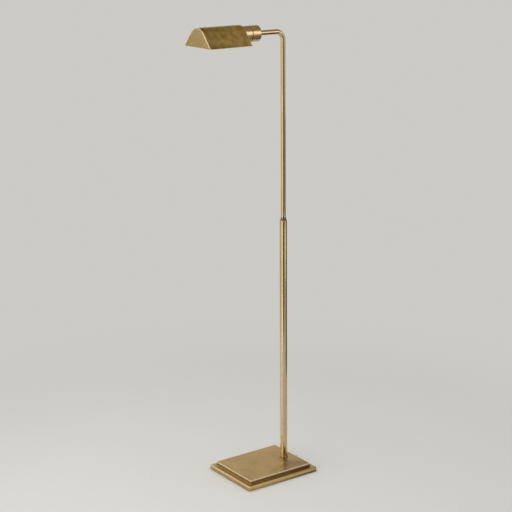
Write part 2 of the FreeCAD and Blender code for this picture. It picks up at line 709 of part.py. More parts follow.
def switch_shaft():
    start = HOLDER_D / 2 - SHAFT_IN_HOLDER
    return rod(on_axis(SWITCH_AT, start), FAR_SIDE, SHAFT_D, knob_start() + SHAFT_IN_KNOB - start)


def switch_knob():
    """Small knob with straight grooves round it and a blind hole for the shaft."""
    start = on_axis(SWITCH_AT, knob_start())
    rim = []
    for k in range(2 * KNOB_GROOVES):
        radius = KNOB_D / 2 - KNOB_GROOVE_DEPTH * (k % 2)
        angle = math.pi * k / KNOB_GROOVES
        rim.append(start + V(radius * math.cos(angle), 0, radius * math.sin(angle)))
    body = Part.Face(Part.makePolygon(rim + rim[:1])).extrude(FAR_SIDE * KNOB_L)
    return body.cut(rod(start, FAR_SIDE, SHAFT_D + 2 * SEAT, SHAFT_IN_KNOB + CLEAR))


PIECES = (
    felt_pad, base_lower_plate, base_upper_plate, plate_screws, cord_bush, base_stud, stud_washer, stud_nut,
    foot_ring, column_plug, column_tube, top_bush, bush_liner,
    mast_slider, brake_rings,
    mast_tube, stop_collar, slider_clip, mast_end_bush, arm_plug, swivel_nipple, rear_cup, swivel_spacer,
    swivel_plate, stop_pin, friction_washer, thrust_washer, spring_washer, swivel_nut,
    front_cup, socket_bracket, bracket_screws, socket_body, socket_shell, centre_contact, switch_bush,
    shade_cover, front_panel, rear_panel, shade_screws, bulb_cap, bulb_glass,
    switch_shaft, switch_knob,
)


def main():
    os.makedirs("parts", exist_ok=True)
    for piece in PIECES:
        shape = piece()
        shape.exportStep("parts/" + piece.__name__ + ".step")
        print(piece.__name__, len(shape.Solids), shape.isValid(), round(shape.Volume / 1000, 3), "cm3")


main()
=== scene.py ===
import logging
import math
from dataclasses import dataclass
from enum import Enum
from typing import Callable, ClassVar, Optional, Sequence

import bmesh
import bpy
import numpy as np
from mathutils import Matrix, Vector


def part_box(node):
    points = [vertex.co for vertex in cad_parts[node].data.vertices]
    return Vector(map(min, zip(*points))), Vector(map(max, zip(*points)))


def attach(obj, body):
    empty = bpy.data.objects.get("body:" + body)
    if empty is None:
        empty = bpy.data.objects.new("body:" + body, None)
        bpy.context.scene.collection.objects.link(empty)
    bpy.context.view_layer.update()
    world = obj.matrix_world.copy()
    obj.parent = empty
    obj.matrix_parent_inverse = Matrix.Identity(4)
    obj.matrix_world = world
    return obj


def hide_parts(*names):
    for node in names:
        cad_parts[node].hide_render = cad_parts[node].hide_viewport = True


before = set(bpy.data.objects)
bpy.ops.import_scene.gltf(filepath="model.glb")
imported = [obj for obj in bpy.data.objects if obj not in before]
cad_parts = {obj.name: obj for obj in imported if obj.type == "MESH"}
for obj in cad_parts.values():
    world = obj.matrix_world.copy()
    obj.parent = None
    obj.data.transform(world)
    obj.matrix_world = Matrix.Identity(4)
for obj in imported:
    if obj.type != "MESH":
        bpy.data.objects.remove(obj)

# The lamp in its finishes: drawn, turned, folded and ground pieces in hand-rubbed antique brass, over the
# packed construction. Lengths are in metres. Every new surface is a grid of points worked out from a formula.

MM = 0.001
TINY = 1e-12
MERGE = 2e-6
LEAST_STEP = 1e-5
SHARP_ANGLE = 50.0
QUARTER = np.pi / 2
ARC_STEPS = 5
SEGMENTS = 96
STRAIGHT_PARTS = 3
NEAR_REACH = 0.4
NEAR_MOST = 0.5
WEAR_SPREAD = 0.8 * MM
WEAR_REACH = 2.4 * MM
DEEP = 1000.0
SEAM_BAND = 0.6 * MM
SEAM_FULL = 1.6
CUP_WALL = 1.5 * MM
CUP_MOUTH_R = 18.6 * MM
SEAM_BEVEL = 0.5 * MM
AXLE_HOLE_R = 5.05 * MM
CORNER_POINTS = 9
MIDDLE_SHARES = (0.6, 0.3, 0.0)
NOISE_ROUGHNESS = 0.55
MIX_FIRST, MIX_SECOND = 6, 7
LOG = logging.getLogger("floor_lamp")

Pair = tuple[float, float]
Triple = tuple[float, float, float]
Colour = tuple[float, float, float]
Sizes = tuple[float, ...]
Radii = Sequence[float] | float
Relief = Callable[[np.ndarray, np.ndarray, np.ndarray], np.ndarray]
Socket = bpy.types.NodeSocket
Material = bpy.types.Material


def mm(*sizes: float) -> Sizes:
    """Lengths in millimetres, carried to metres."""
    return tuple(size * MM for size in sizes)


def unit(vectors: np.ndarray) -> np.ndarray:
    """Vectors scaled to length one, with zero vectors left as they are."""
    lengths = np.linalg.norm(vectors, axis=-1, keepdims=True)
    return vectors / np.where(lengths > TINY, lengths, 1.0)


def wall_line(radius: float, heights: np.ndarray) -> np.ndarray:
    """Profile points at one radius and many heights."""
    return np.stack([np.full(len(heights), radius), heights], axis=1)


def eased(corners: Sequence[Pair], radii: Radii, closed: bool = False,
          steps: int = ARC_STEPS) -> np.ndarray:
    """Outline with rounded corners, and with two extra points on the straight before and after each arc.

    Each arc touches both straights at radius / tan(half the corner's angle) from the corner, and its points
    are the spherical blend of its two end radii. The nearer extra point keeps the flat's shading flat, and at
    the farther one the wear of the edge has ended.

    Args:
        corners: Corner points in order. An open outline's two end points aren't rounded.
        radii: Radius of each rounded corner, or one radius for all.
        closed: Whether the last corner joins the first.
        steps: Parts of each arc.

    Returns:
        Array of shape (points, 2), with steps + 5 points for each rounded corner.
    """
    points = np.asarray(corners, float)
    here = points if closed else points[1:-1]
    back = (np.roll(points, 1, 0) if closed else points[:-2]) - here
    ahead = (np.roll(points, -1, 0) if closed else points[2:]) - here
    radius = np.broadcast_to(np.asarray(radii, float), (len(here),))
    half = np.arccos(np.clip((unit(back) * unit(ahead)).sum(1), -1, 1)) / 2
    touch = radius / np.tan(half)
    reach_back, reach_ahead = np.roll(touch, 1), np.roll(touch, -1)
    if not closed:
        reach_back[0] = reach_ahead[-1] = 0.0
    spare_back = (np.linalg.norm(back, axis=1) - touch - reach_back) / STRAIGHT_PARTS
    spare_ahead = (np.linalg.norm(ahead, axis=1) - touch - reach_ahead) / STRAIGHT_PARTS
    if min(spare_back.min(), spare_ahead.min()) <= 0:
        raise ValueError("an outline's arcs overlap; make its radii smaller")
    centre = here + unit(unit(back) + unit(ahead)) * (radius / np.sin(half))[:, None]
    first = here + unit(back) * touch[:, None]
    last = here + unit(ahead) * touch[:, None]
    turn = (np.pi - 2 * half)[:, None, None]
    share = np.linspace(0, 1, steps + 1)[None, :, None]
    from_first = np.sin((1 - share) * turn) * (first - centre)[:, None]
    from_last = np.sin(share * turn) * (last - centre)[:, None]
    arcs = centre[:, None] + (from_first + from_last) / np.sin(turn)
    before, after = [], []
    for wanted, most in ((WEAR_REACH, 1.0), (NEAR_REACH * radius, NEAR_MOST)):
        before.append(first + unit(back) * np.minimum(wanted, most * spare_back)[:, None])
        after.insert(0, last + unit(ahead) * np.minimum(wanted, most * spare_ahead)[:, None])
    middle = np.concatenate([np.stack(before, axis=1), arcs, np.stack(after, axis=1)], axis=1).reshape(-1, 2)
    return middle if closed else np.concatenate([points[:1], middle, points[-1:]])


@dataclass
class Surface:
    """Grid of points, rows by columns by three, whose columns close on themselves.

    Kept is the share of darkening at each point, from first patina that wear has left and from painted shade;
    below 0 it is rubbed pale by hand, which low on the column also paints a paler reflection.
    """

    grid: np.ndarray
    rows_close: bool = False
    capped: bool = False
    kept: Optional[np.ndarray | float] = None

    def steps(self, axis: int, closes: bool) -> tuple[np.ndarray, np.ndarray]:
        """Steps from each point to the one before and the one after along an axis.

        Args:
            axis: 0 down the rows, 1 along the columns.
            closes: Whether the grid closes that way.

        Returns:
            Two arrays of the grid's shape.
        """
        ahead = np.roll(self.grid, -1, axis) - self.grid
        back = np.roll(ahead, 1, axis)
        if not closes:
            np.moveaxis(ahead, axis, 0)[-1] = np.moveaxis(back, axis, 0)[-1]
            np.moveaxis(back, axis, 0)[0] = np.moveaxis(ahead, axis, 0)[0]
        return back, ahead

    def edge(self) -> np.ndarray:
        """Signed curvature of the surface in 1/m, positive on outward edges and negative in hollows.

        The curvature along each way is the change of the unit tangent over the step's length, taken against
        the normal, and the larger of the two ways counts. Kept patina and painted shade weaken an edge and
        deepen a hollow.

        Returns:
            Array of shape (rows, columns).
        """
        row_back, row_ahead = self.steps(0, self.rows_close)
        col_back, col_ahead = self.steps(1, True)
        normal = unit(np.cross(unit(col_back) + unit(col_ahead), unit(row_back) + unit(row_ahead)))
        volume = (normal * (self.grid - self.grid.mean((0, 1)))).sum()
        normal = normal * (1.0 if volume > 0 else -1.0)
        bends = []
        for back, ahead in ((row_back, row_ahead), (col_back, col_ahead)):
            length = (np.linalg.norm(back, axis=2) + np.linalg.norm(ahead, axis=2)) / 2
            change = unit(ahead) - unit(back)
            bends.append(-(change * normal).sum(2) / np.maximum(length, LEAST_STEP))
        larger = np.abs(bends[0]) > np.abs(bends[1])
        bend = self.spread(np.where(larger, bends[0], bends[1]))
        if self.kept is None:
            return bend
        # A kept share darkens the colour through the grime share: real patina, and on some pieces painted
        # shade and a painted shadow.
        return np.where(bend > 0, bend * (1 - self.kept), bend) - DEEP * self.kept

    def spread(self, bend: np.ndarray) -> np.ndarray:
        """Carries the measure of an edge a little way over the faces beside it.

        Along each way every point takes the strongest neighbour, weakened by a bell curve of the distance.

        Args:
            bend: Signed curvature of each point.

        Returns:
            Array of the same shape.
        """
        for axis in (0, 1):
            line = np.diff(self.grid, axis=axis)
            gaps = np.linalg.norm(line, axis=2).mean(1 - axis)
            place = np.concatenate([[0.0], np.cumsum(gaps)])
            weight = np.exp(-((place[:, None] - place[None]) / WEAR_SPREAD) ** 2)
            near = weight[:, :, None] * np.moveaxis(bend, axis, 0)[None]
            strong = np.take_along_axis(near, np.abs(near).argmax(1)[:, None], 1)[:, 0]
            bend = np.moveaxis(strong, 0, axis)
        return bend

    def unrolled(self) -> tuple[np.ndarray, np.ndarray]:
        """Distances over the surface, for patterns that follow it.

        Returns:
            The distance along the columns and down the rows, each one longer than the grid's own count.
        """
        ring = np.linalg.norm(np.diff(self.grid, axis=1, append=self.grid[:, :1]), axis=2)
        along = ring[np.argmax(ring.sum(1))]
        down = np.linalg.norm(np.diff(self.grid, axis=0, append=self.grid[:1]), axis=2).mean(1)
        return np.concatenate([[0.0], np.cumsum(along)]), np.concatenate([[0.0], np.cumsum(down)])

    def faces(self) -> tuple[np.ndarray, np.ndarray]:
        """Four-cornered faces of the grid with their places on the unrolled surface.

        Returns:
            Corner indices of shape (faces, 4), and places of shape (faces, 4, 2).
        """
        rows, columns = self.grid.shape[:2]
        bands = np.arange(rows if self.rows_close else rows - 1)
        row, column = np.meshgrid(bands, np.arange(columns), indexing="ij")
        turn = np.array([[0, 0], [0, 1], [1, 1], [1, 0]])
        at_row = row.reshape(-1, 1) + turn[:, 0]
        at_column = column.reshape(-1, 1) + turn[:, 1]
        along, down = self.unrolled()
        places = np.stack([along[at_column], down[at_row]], axis=2)
        return (at_row % rows) * columns + at_column % columns, places


def make_mesh(name: str, surfaces: Sequence[Surface]) -> bpy.types.Mesh:
    """One smooth mesh of surfaces: merged poles, faces outwards, a UV map in metres and the edge measure.

    Args:
        name: Name of the mesh.
        surfaces: Its grids.

    Returns:
        The new mesh.
    """
    points, edges, corners, places, caps, count = [], [], [], [], [], 0
    for surface in surfaces:
        rows, columns = surface.grid.shape[:2]
        faces, spots = surface.faces()
        points.append(surface.grid.reshape(-1, 3))
        edges.append(surface.edge().ravel())
        corners.append(faces + count)
        places.append(spots)
        if surface.capped:
            caps.append(list(range(count, count + columns)))
            caps.append(list(range(count + (rows - 1) * columns, count + rows * columns)))
        count += rows * columns
    mesh = bpy.data.meshes.new(name)
    mesh.from_pydata(np.concatenate(points).tolist(), [], np.concatenate(corners).tolist() + caps)
    flat = np.zeros((len(mesh.loops), 2), np.float32)
    spots = np.concatenate(places).reshape(-1, 2)
    flat[:len(spots)] = spots
    mesh.uv_layers.new(name="surface").data.foreach_set("uv", flat.ravel())
    measure = mesh.attributes.new("edge", "FLOAT", "POINT")
    measure.data.foreach_set("value", np.concatenate(edges).astype(np.float32))
    work = bmesh.new()
    work.from_mesh(mesh)
    bmesh.ops.remove_doubles(work, verts=work.verts, dist=MERGE)
    bmesh.ops.recalc_face_normals(work, faces=work.faces)
    work.to_mesh(mesh)
    work.free()
    mesh.shade_smooth()
    mesh.set_sharp_from_angle(angle=math.radians(SHARP_ANGLE))
    return mesh


def linked(name: str, data: bpy.types.ID) -> bpy.types.Object:
    """New object, linked to the scene.

    Args:
        name: Its name.
        data: Its mesh, lamp or camera.

    Returns:
        The object.
    """
    made = bpy.data.objects.new(name, data)
    bpy.context.scene.collection.objects.link(made)
    return made


class Way(Enum):
    """Direction in which a turned piece grows from its start."""

    UP = (0.0, 0.0, 1.0)
    TO_COLUMN = (1.0, 0.0, 0.0)
    TO_TIP = (-1.0, 0.0, 0.0)
    TO_FAR_SIDE = (0.0, 1.0, 0.0)


@dataclass(frozen=True)
class Extent:
    """Lowest and highest corner of a node at rest."""

    low: np.ndarray
    high: np.ndarray

    @classmethod
    def of(cls, node: str) -> "Extent":
        """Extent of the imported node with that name."""
        low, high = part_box(node)
        return cls(np.array(low), np.array(high))

    @property
    def middle(self) -> np.ndarray:
        """Middle of the extent."""
        return (self.low + self.high) / 2

    @property
    def size(self) -> np.ndarray:
        """Size of the extent along each axis."""
        return self.high - self.low

    def start(self, way: Way) -> np.ndarray:
        """Middle of the face from which a piece grows that way."""
        sign = np.array(way.value)
        return np.where(sign > 0, self.low, np.where(sign < 0, self.high, self.middle))

    def turned_size(self, way: Way) -> Pair:
        """Radius and length of a piece turned about that way."""
        along = int(np.flatnonzero(way.value)[0])
        return self.size[0 if along else 1] / 2, self.size[along]


def turned(profile: np.ndarray, start: np.ndarray, way: Way, closed: bool = True,
           segments: int = SEGMENTS, relief: Optional[Relief] = None) -> Surface:
    """Surface of revolution: every profile point swings round the axis at its own radius and height.

    Args:
        profile: Radius and height of each point, from pole to pole or as a closed loop.
        start: Point of the axis at height zero.
        way: Direction of the axis.
        closed: Whether the profile is a loop.
        segments: Points round the axis.
        relief: What to add to the radius, from radius, height and angle.

    Returns:
        The surface.
    """
    axis = np.array(way.value)
    side = np.array((Way.UP if way is Way.TO_FAR_SIDE else Way.TO_FAR_SIDE).value)
    angle = np.linspace(0, 2 * np.pi, segments, endpoint=False)[None, :]
    radius, height = profile[:, :1], profile[:, 1:]
    reach = radius + (relief(radius, height, angle) if relief else 0 * angle)
    around = np.cos(angle)[..., None] * side + np.sin(angle)[..., None] * np.cross(axis, side)
    return Surface(start + height[..., None] * axis + reach[..., None] * around, rows_close=closed)


def seam_patina(profile: np.ndarray) -> np.ndarray:
    """Share of kept patina along a cup's profile, full at the seam and none past a short way from it."""
    return np.clip(SEAM_FULL - profile[:, 1:] / SEAM_BAND, 0, 1)


def slab(extent: Extent, corner_r: float, rim: np.ndarray, flat: Sequence[float] = (),
         kept: Optional[np.ndarray] = None) -> Surface:
    """Flat plate with round corners whose edge follows a rim profile.

    The outline at an inset is the rectangle of the corner centres, pushed out by the corner radius less the
    inset. Past the corner radius the corner centres themselves move inwards. The first rows and the last
    shrink to the middle.

    Args:
        extent: Extent of the plate.
        corner_r: Radius of the upright corners.
        rim: Inset and height of each rim point, from the bottom flat to the top flat.
        flat: Insets of further rows on the top flat.
        kept: Share of kept patina and painted shade at each rim point and each further row.

    Returns:
        The closed surface.
    """
    half = extent.size[:2] / 2 - corner_r
    sweep = np.radians(np.linspace(0, 90, CORNER_POINTS))
    support = corner_r / 2
    spots, rays, sides = [], [], []
    for quarter, signs in enumerate(((1, 1), (-1, 1), (-1, -1), (1, -1))):
        angle = sweep + quarter * QUARTER
        ray = np.stack([np.cos(angle), np.sin(angle)], axis=1)
        spot = np.tile(half * signs, (len(angle), 1))
        spots += [spot[:1] - support * ray[-1:], spot, spot[:1] - support * ray[:1]]
        rays += [ray[:1], ray, ray[-1:]]
        sides.append(np.tile(signs, (len(angle) + 2, 1)))
    spot, ray, side = np.concatenate(spots), np.concatenate(rays), np.concatenate(sides)
    inset = np.concatenate([rim[:, 0], np.asarray(flat, float)])
    outline = (spot[None] - np.maximum(inset - corner_r, 0)[:, None, None] * side[None]
               + np.maximum(corner_r - inset, 0)[:, None, None] * ray[None])
    shares = np.array(MIDDLE_SHARES)[:, None, None]
    grid = np.concatenate([shares[::-1] * outline[:1], outline, shares * outline[-1:]])
    ends = (len(MIDDLE_SHARES), len(flat) + len(MIDDLE_SHARES))
    height = np.broadcast_to(np.pad(rim[:, 1], ends, mode="edge")[:, None, None], grid.shape[:2] + (1,))
    patina = None if kept is None else np.pad(kept, len(shares))[:, None] + np.zeros(grid.shape[1])
    return Surface(np.concatenate([grid + extent.middle[:2], height], axis=2), kept=patina)


class Brush(Enum):
    """Way in which a surface was rubbed, as the stretch of its lines."""

    ALONG = (1400.0, 22.0, 1400.0)
    ROUND = (20.0, 1400.0, 20.0)
    CLOUDY = (700.0, 240.0, 700.0)


class Bench:
    """One material's node tree, with a short call for each kind of node that the finishes use."""

    def __init__(self, name: str) -> None:
        """Starts a material with one Principled shader.

        Args:
            name: Name of the material.
        """
        self.material = bpy.data.materials.new(name)
        self.material.use_nodes = True
        self.tree = self.material.node_tree
        self.tree.nodes.clear()
        self.shader = self.tree.nodes.new("ShaderNodeBsdfPrincipled")
        self.output = self.tree.nodes.new("ShaderNodeOutputMaterial")
        self.tree.links.new(self.shader.outputs[0], self.output.inputs["Surface"])

    def node(self, kind: str, inputs: dict, **settings: object) -> bpy.types.Node:
        """Adds a node.

        Args:
            kind: Type name of the node.
            inputs: Value or source socket of each input, by name or index.
            **settings: Properties of the node.

        Returns:
            The node.
        """
        made = self.tree.nodes.new(kind)
        for key, value in settings.items():
            setattr(made, key, value)
        for key, value in inputs.items():
            self.feed(made.inputs[key], value)
        return made

    def feed(self, socket: Socket, value: object) -> None:
        """Links a source socket to an input, or sets the input to a value.

        Args:
            socket: The input.
            value: Its source socket or its value.
        """
        if isinstance(value, Socket):
            self.tree.links.new(value, socket)
        else:
            socket.default_value = value

    def set(self, **values: object) -> None:
        """Sets or links the shader's own sockets; an underscore stands for a space."""
        for key, value in values.items():
            self.feed(self.shader.inputs[key.replace("_", " ")], value)

    def noise(self, scale: float | Triple, detail: float = 2.0, twist: float = 0.0,
              source: str = "Object") -> Socket:
        """Noise over the piece's own coordinates in metres.

        Args:
            scale: Swings to the metre, the same every way or one for each axis.
            detail: Finer layers over the first.
            twist: How much the noise is drawn out of shape.
            source: Object or UV.

        Returns:
            The value socket, about 0 to 1.
        """
        stretch = scale if isinstance(scale, tuple) else (scale,) * 3
        start = self.node("ShaderNodeTexCoord", {}).outputs[source]
        place = self.node("ShaderNodeVectorMath", {0: start, 1: stretch}, operation="MULTIPLY").outputs[0]
        inputs = {"Vector": place, "Scale": 1.0, "Detail": detail, "Distortion": twist,
                  "Roughness": NOISE_ROUGHNESS}
        return self.node("ShaderNodeTexNoise", inputs).outputs["Fac"]

    def reckon(self, operation: str, first: object, second: object, third: object = 0.0) -> Socket:
        """Math node on values or sockets."""
        return self.node("ShaderNodeMath", {0: first, 1: second, 2: third}, operation=operation).outputs[0]

    def total(self, start: float, sockets: Sequence[Socket], factors: Sequence[float]) -> Socket:
        """Sum of a start value and each socket times its factor.

        Args:
            start: The start value.
            sockets: The sockets.
            factors: A factor for each.

        Returns:
            The value socket.
        """
        for socket, factor in zip(sockets, factors):
            start = self.reckon("MULTIPLY_ADD", socket, factor, start)
        return start

    def remap(self, value: Socket, source: Pair, target: Pair = (0.0, 1.0)) -> Socket:
        """Carries a range smoothly to another.

        Args:
            value: Socket to carry.
            source: Range that it is in.
            target: Range wanted, and kept to.

        Returns:
            The value socket.
        """
        ends = {"Value": value, "From Min": source[0], "From Max": source[1], "To Min": target[0],
                "To Max": target[1]}
        return self.node("ShaderNodeMapRange", ends, interpolation_type="SMOOTHSTEP").outputs[0]

    def blend(self, share: Socket, first: Colour | Socket, second: Colour | Socket) -> Socket:
        """Mixes two colours by a share."""
        one, other = ((*value, 1.0) if isinstance(value, tuple) else value for value in (first, second))
        return self.node("ShaderNodeMix", {0: share, MIX_FIRST: one, MIX_SECOND: other},
                         data_type="RGBA").outputs[2]

    def bump(self, height: Socket, depth: float, under: Optional[Socket] = None) -> Socket:
        """Raises the surface by a height map.

        Args:
            height: Height from 0 to 1.
            depth: Depth of the relief in metres.
            under: Normal of another bump below this one.

        Returns:
            The normal socket.
        """
        inputs = {"Strength": 1.0, "Distance": depth, "Height": height}
        if under is not None:
            inputs["Normal"] = under
        return self.node("ShaderNodeBump", inputs).outputs[0]

    def edge(self, source: Pair) -> Socket:
        """Share from 0 to 1 of the piece's edge measure over a range, for wear, and for grime and painted
        shade.
        """
        return self.remap(self.node("ShaderNodeAttribute", {}, attribute_name="edge").outputs["Fac"], source)


@dataclass(frozen=True)
class AntiqueBrass:
    """Hand-rubbed antique brass: a brown bath, rubbed back in clouds and along edges, under clear lacquer.

    The tone is the weighted sum of blotches, clouds, flecks and rubbing lines. The grime share darkens
    hollows, and also the painted shade and painted shadow that some pieces set in their kept shares. The
    rough shares are what the tone, the lines, the grime and painted shade, and the wear each add to the
    roughness. A form is a noise's detail and twist.
    """

    name: str
    brush: Brush = Brush.CLOUDY
    aged: Colour = (0.50, 0.350, 0.150)
    body: Colour = (0.57, 0.410, 0.195)
    rubbed: Colour = (0.64, 0.475, 0.250)
    worn: Colour = (0.90, 0.780, 0.540)
    edge_on: Colour = (0.90, 0.75, 0.60)
    cloud: float = 13.0
    cloud_form: Pair = (3.0, 0.6)
    blotch: float = 70.0
    blotch_form: Pair = (4.0, 0.4)
    fleck: float = 520.0
    line_form: Pair = (3.0, 0.0)
    tone_shares: Sizes = (0.3, 0.55, 0.08, 0.07)
    dark_range: Pair = (0.38, 0.52)
    bright_range: Pair = (0.50, 0.64)
    wear: Pair = (300.0, 1400.0)
    wear_blotch: Pair = (0.3, 0.55)
    wear_shares: Pair = (0.6, 1.0)
    grime_and_shade: Pair = (-150.0, -900.0)
    grime_and_shade_most: float = 0.94
    grime_and_shade_tone: float = 0.3
    roughness: float = 0.28
    rough_shares: Sizes = (-0.16, 0.08, 0.16, 0.15)
    wave: float = 0.12 * MM
    line_depth: float = 0.003 * MM
    coat: float = 0.2
    coat_roughness: float = 0.14
    coat_ior: float = 1.5
    has_surface_map: bool = True

    def make(self) -> Material:
        """Builds the material.

        Returns:
            The material.
        """
        bench = Bench(self.name)
        cloud = bench.noise(self.cloud, *self.cloud_form)
        blotch = bench.noise(self.blotch, *self.blotch_form)
        fleck = bench.noise(self.fleck)
        source = "UV" if self.has_surface_map else "Object"
        lines = bench.noise(self.brush.value, *self.line_form, source)
        tone = bench.total(0.0, (blotch, cloud, fleck, lines), self.tone_shares)
        shade = bench.blend(bench.remap(tone, self.dark_range), self.aged, self.body)
        shade = bench.blend(bench.remap(tone, self.bright_range), shade, self.rubbed)
        # Worn edges; where a kept share is below 0 this is rubbing that also paints a paler reflection.
        spots = bench.remap(blotch, self.wear_blotch, self.wear_shares)
        wear = bench.reckon("MULTIPLY", bench.edge(self.wear), spots)
        shade = bench.blend(wear, shade, self.worn)
        # Grime in hollows, and painted shade from the kept shares, towards a dark copy of the aged colour.
        grime_and_shade = bench.edge(self.grime_and_shade)
        dirt_and_shade = tuple(part * self.grime_and_shade_tone for part in self.aged)
        shade = bench.blend(bench.reckon("MULTIPLY", grime_and_shade, self.grime_and_shade_most), shade, dirt_and_shade)
        middle = self.roughness - self.rough_shares[0] / 2
        rough = bench.total(middle, (tone, lines, grime_and_shade, wear), self.rough_shares)
        normal = bench.bump(lines, self.line_depth, bench.bump(cloud, self.wave))
        bench.set(Base_Color=shade, Metallic=1.0, Roughness=rough, Normal=normal,
                  Specular_Tint=(*self.edge_on, 1.0))
        bench.set(Coat_Weight=self.coat, Coat_Roughness=self.coat_roughness, Coat_IOR=self.coat_ior)
        return bench.material


@dataclass(frozen=True)
class Clouded:
    """Simple material: one colour that passes into another in clouds."""

    name: str
    colour: Colour
    stain: Colour
    roughness: float
    cloud: ClassVar[float] = 60.0
    cloud_detail: ClassVar[float] = 3.0
    cloud_range: ClassVar[Pair] = (0.35, 0.65)
    stain_most: ClassVar[float] = 1.0

    def start(self) -> tuple[Bench, Socket]:
        """Starts the material with its clouded colour and its plain roughness.

        Returns:
            Its bench, and the socket of the clouds.
        """
        bench = Bench(self.name)
        cloud = bench.noise(self.cloud, self.cloud_detail)
        share = bench.remap(cloud, self.cloud_range, (0.0, self.stain_most))
        bench.set(Base_Color=bench.blend(share, self.colour, self.stain), Roughness=self.roughness)
        return bench, cloud


@dataclass(frozen=True)
class PlainMetal(Clouded):
    """Bright metal of inner pieces, with fine turning marks and a little stain."""

    roughness: float = 0.3
    cloud: ClassVar[float] = 110.0
    cloud_range: ClassVar[Pair] = (0.35, 0.62)
    stain_most: ClassVar[float] = 0.7
    marks: ClassVar[float] = 1500.0
    depth: ClassVar[float] = 0.004 * MM
    swing: ClassVar[float] = 0.14

    def make(self) -> Material:
        """Builds the material.

        Returns:
            The material.
        """
        bench, cloud = self.start()
        rough = bench.total(self.roughness - self.swing / 2, [cloud], [self.swing])
        bench.set(Metallic=1.0, Roughness=rough, Normal=bench.bump(bench.noise(self.marks), self.depth))
        return bench.material


@dataclass(frozen=True)
class Moulded(Clouded):
    """Moulded or glazed material without metal: nylon, rubber or porcelain."""

    grain: float
    depth: float
    glaze: float = 0.0
    glaze_roughness: ClassVar[float] = 0.05
    swing: ClassVar[float] = 0.12

    def make(self) -> Material:
        """Builds the material.

        Returns:
            The material.
        """
        bench, _ = self.start()
        grain = bench.noise(self.grain)
        rough = bench.total(self.roughness - self.swing / 2, [grain], [self.swing])
        bench.set(Roughness=rough, Normal=bench.bump(grain, self.depth), Coat_Weight=self.glaze,
                  Coat_Roughness=self.glaze_roughness)
        return bench.material


@dataclass(frozen=True)
class Felt:
    """Pressed felt: short matted fibres with sheen. A form is a noise's detail and twist."""

    name: str
    colour: Colour
    fibre: Colour
    fibres: float = 900.0
    fibre_form: Pair = (5.0, 2.5)
    mat: float = 160.0
    mat_form: Pair = (3.0, 1.0)
    shares: Pair = (0.3, 0.7)
    share_range: Pair = (0.35, 0.65)
    roughness: float = 0.95
    depth: float = 0.12 * MM
    sheen: Pair = (0.4, 0.5)

    def make(self) -> Material:
        """Builds the material.

        Returns:
            The material.
        """
        bench = Bench(self.name)
        fibres = bench.noise(self.fibres, *self.fibre_form)
        share = bench.total(0.0, (bench.noise(self.mat, *self.mat_form), fibres), self.shares)
        bench.set(Base_Color=bench.blend(bench.remap(share, self.share_range), self.colour, self.fibre),
                  Roughness=self.roughness, Normal=bench.bump(fibres, self.depth), Sheen_Weight=self.sheen[0],
                  Sheen_Roughness=self.sheen[1])
        return bench.material


@dataclass(frozen=True)
class OpalGlass(Clouded):
    """Bulb glass with a white powder coat inside, clear enough for a little light to pass."""

    ior: float = 1.5
    clearness: float = 0.12
    gloss: Pair = (0.8, 0.03)
    cloud: ClassVar[float] = 45.0
    cloud_range: ClassVar[Pair] = (0.4, 0.6)

    def make(self) -> Material:
        """Builds the material.

        Returns:
            The material.
        """
        bench, _ = self.start()
        bench.set(IOR=self.ior, Transmission_Weight=self.clearness, Coat_Weight=self.gloss[0],
                  Coat_Roughness=self.gloss[1])
        return bench.material


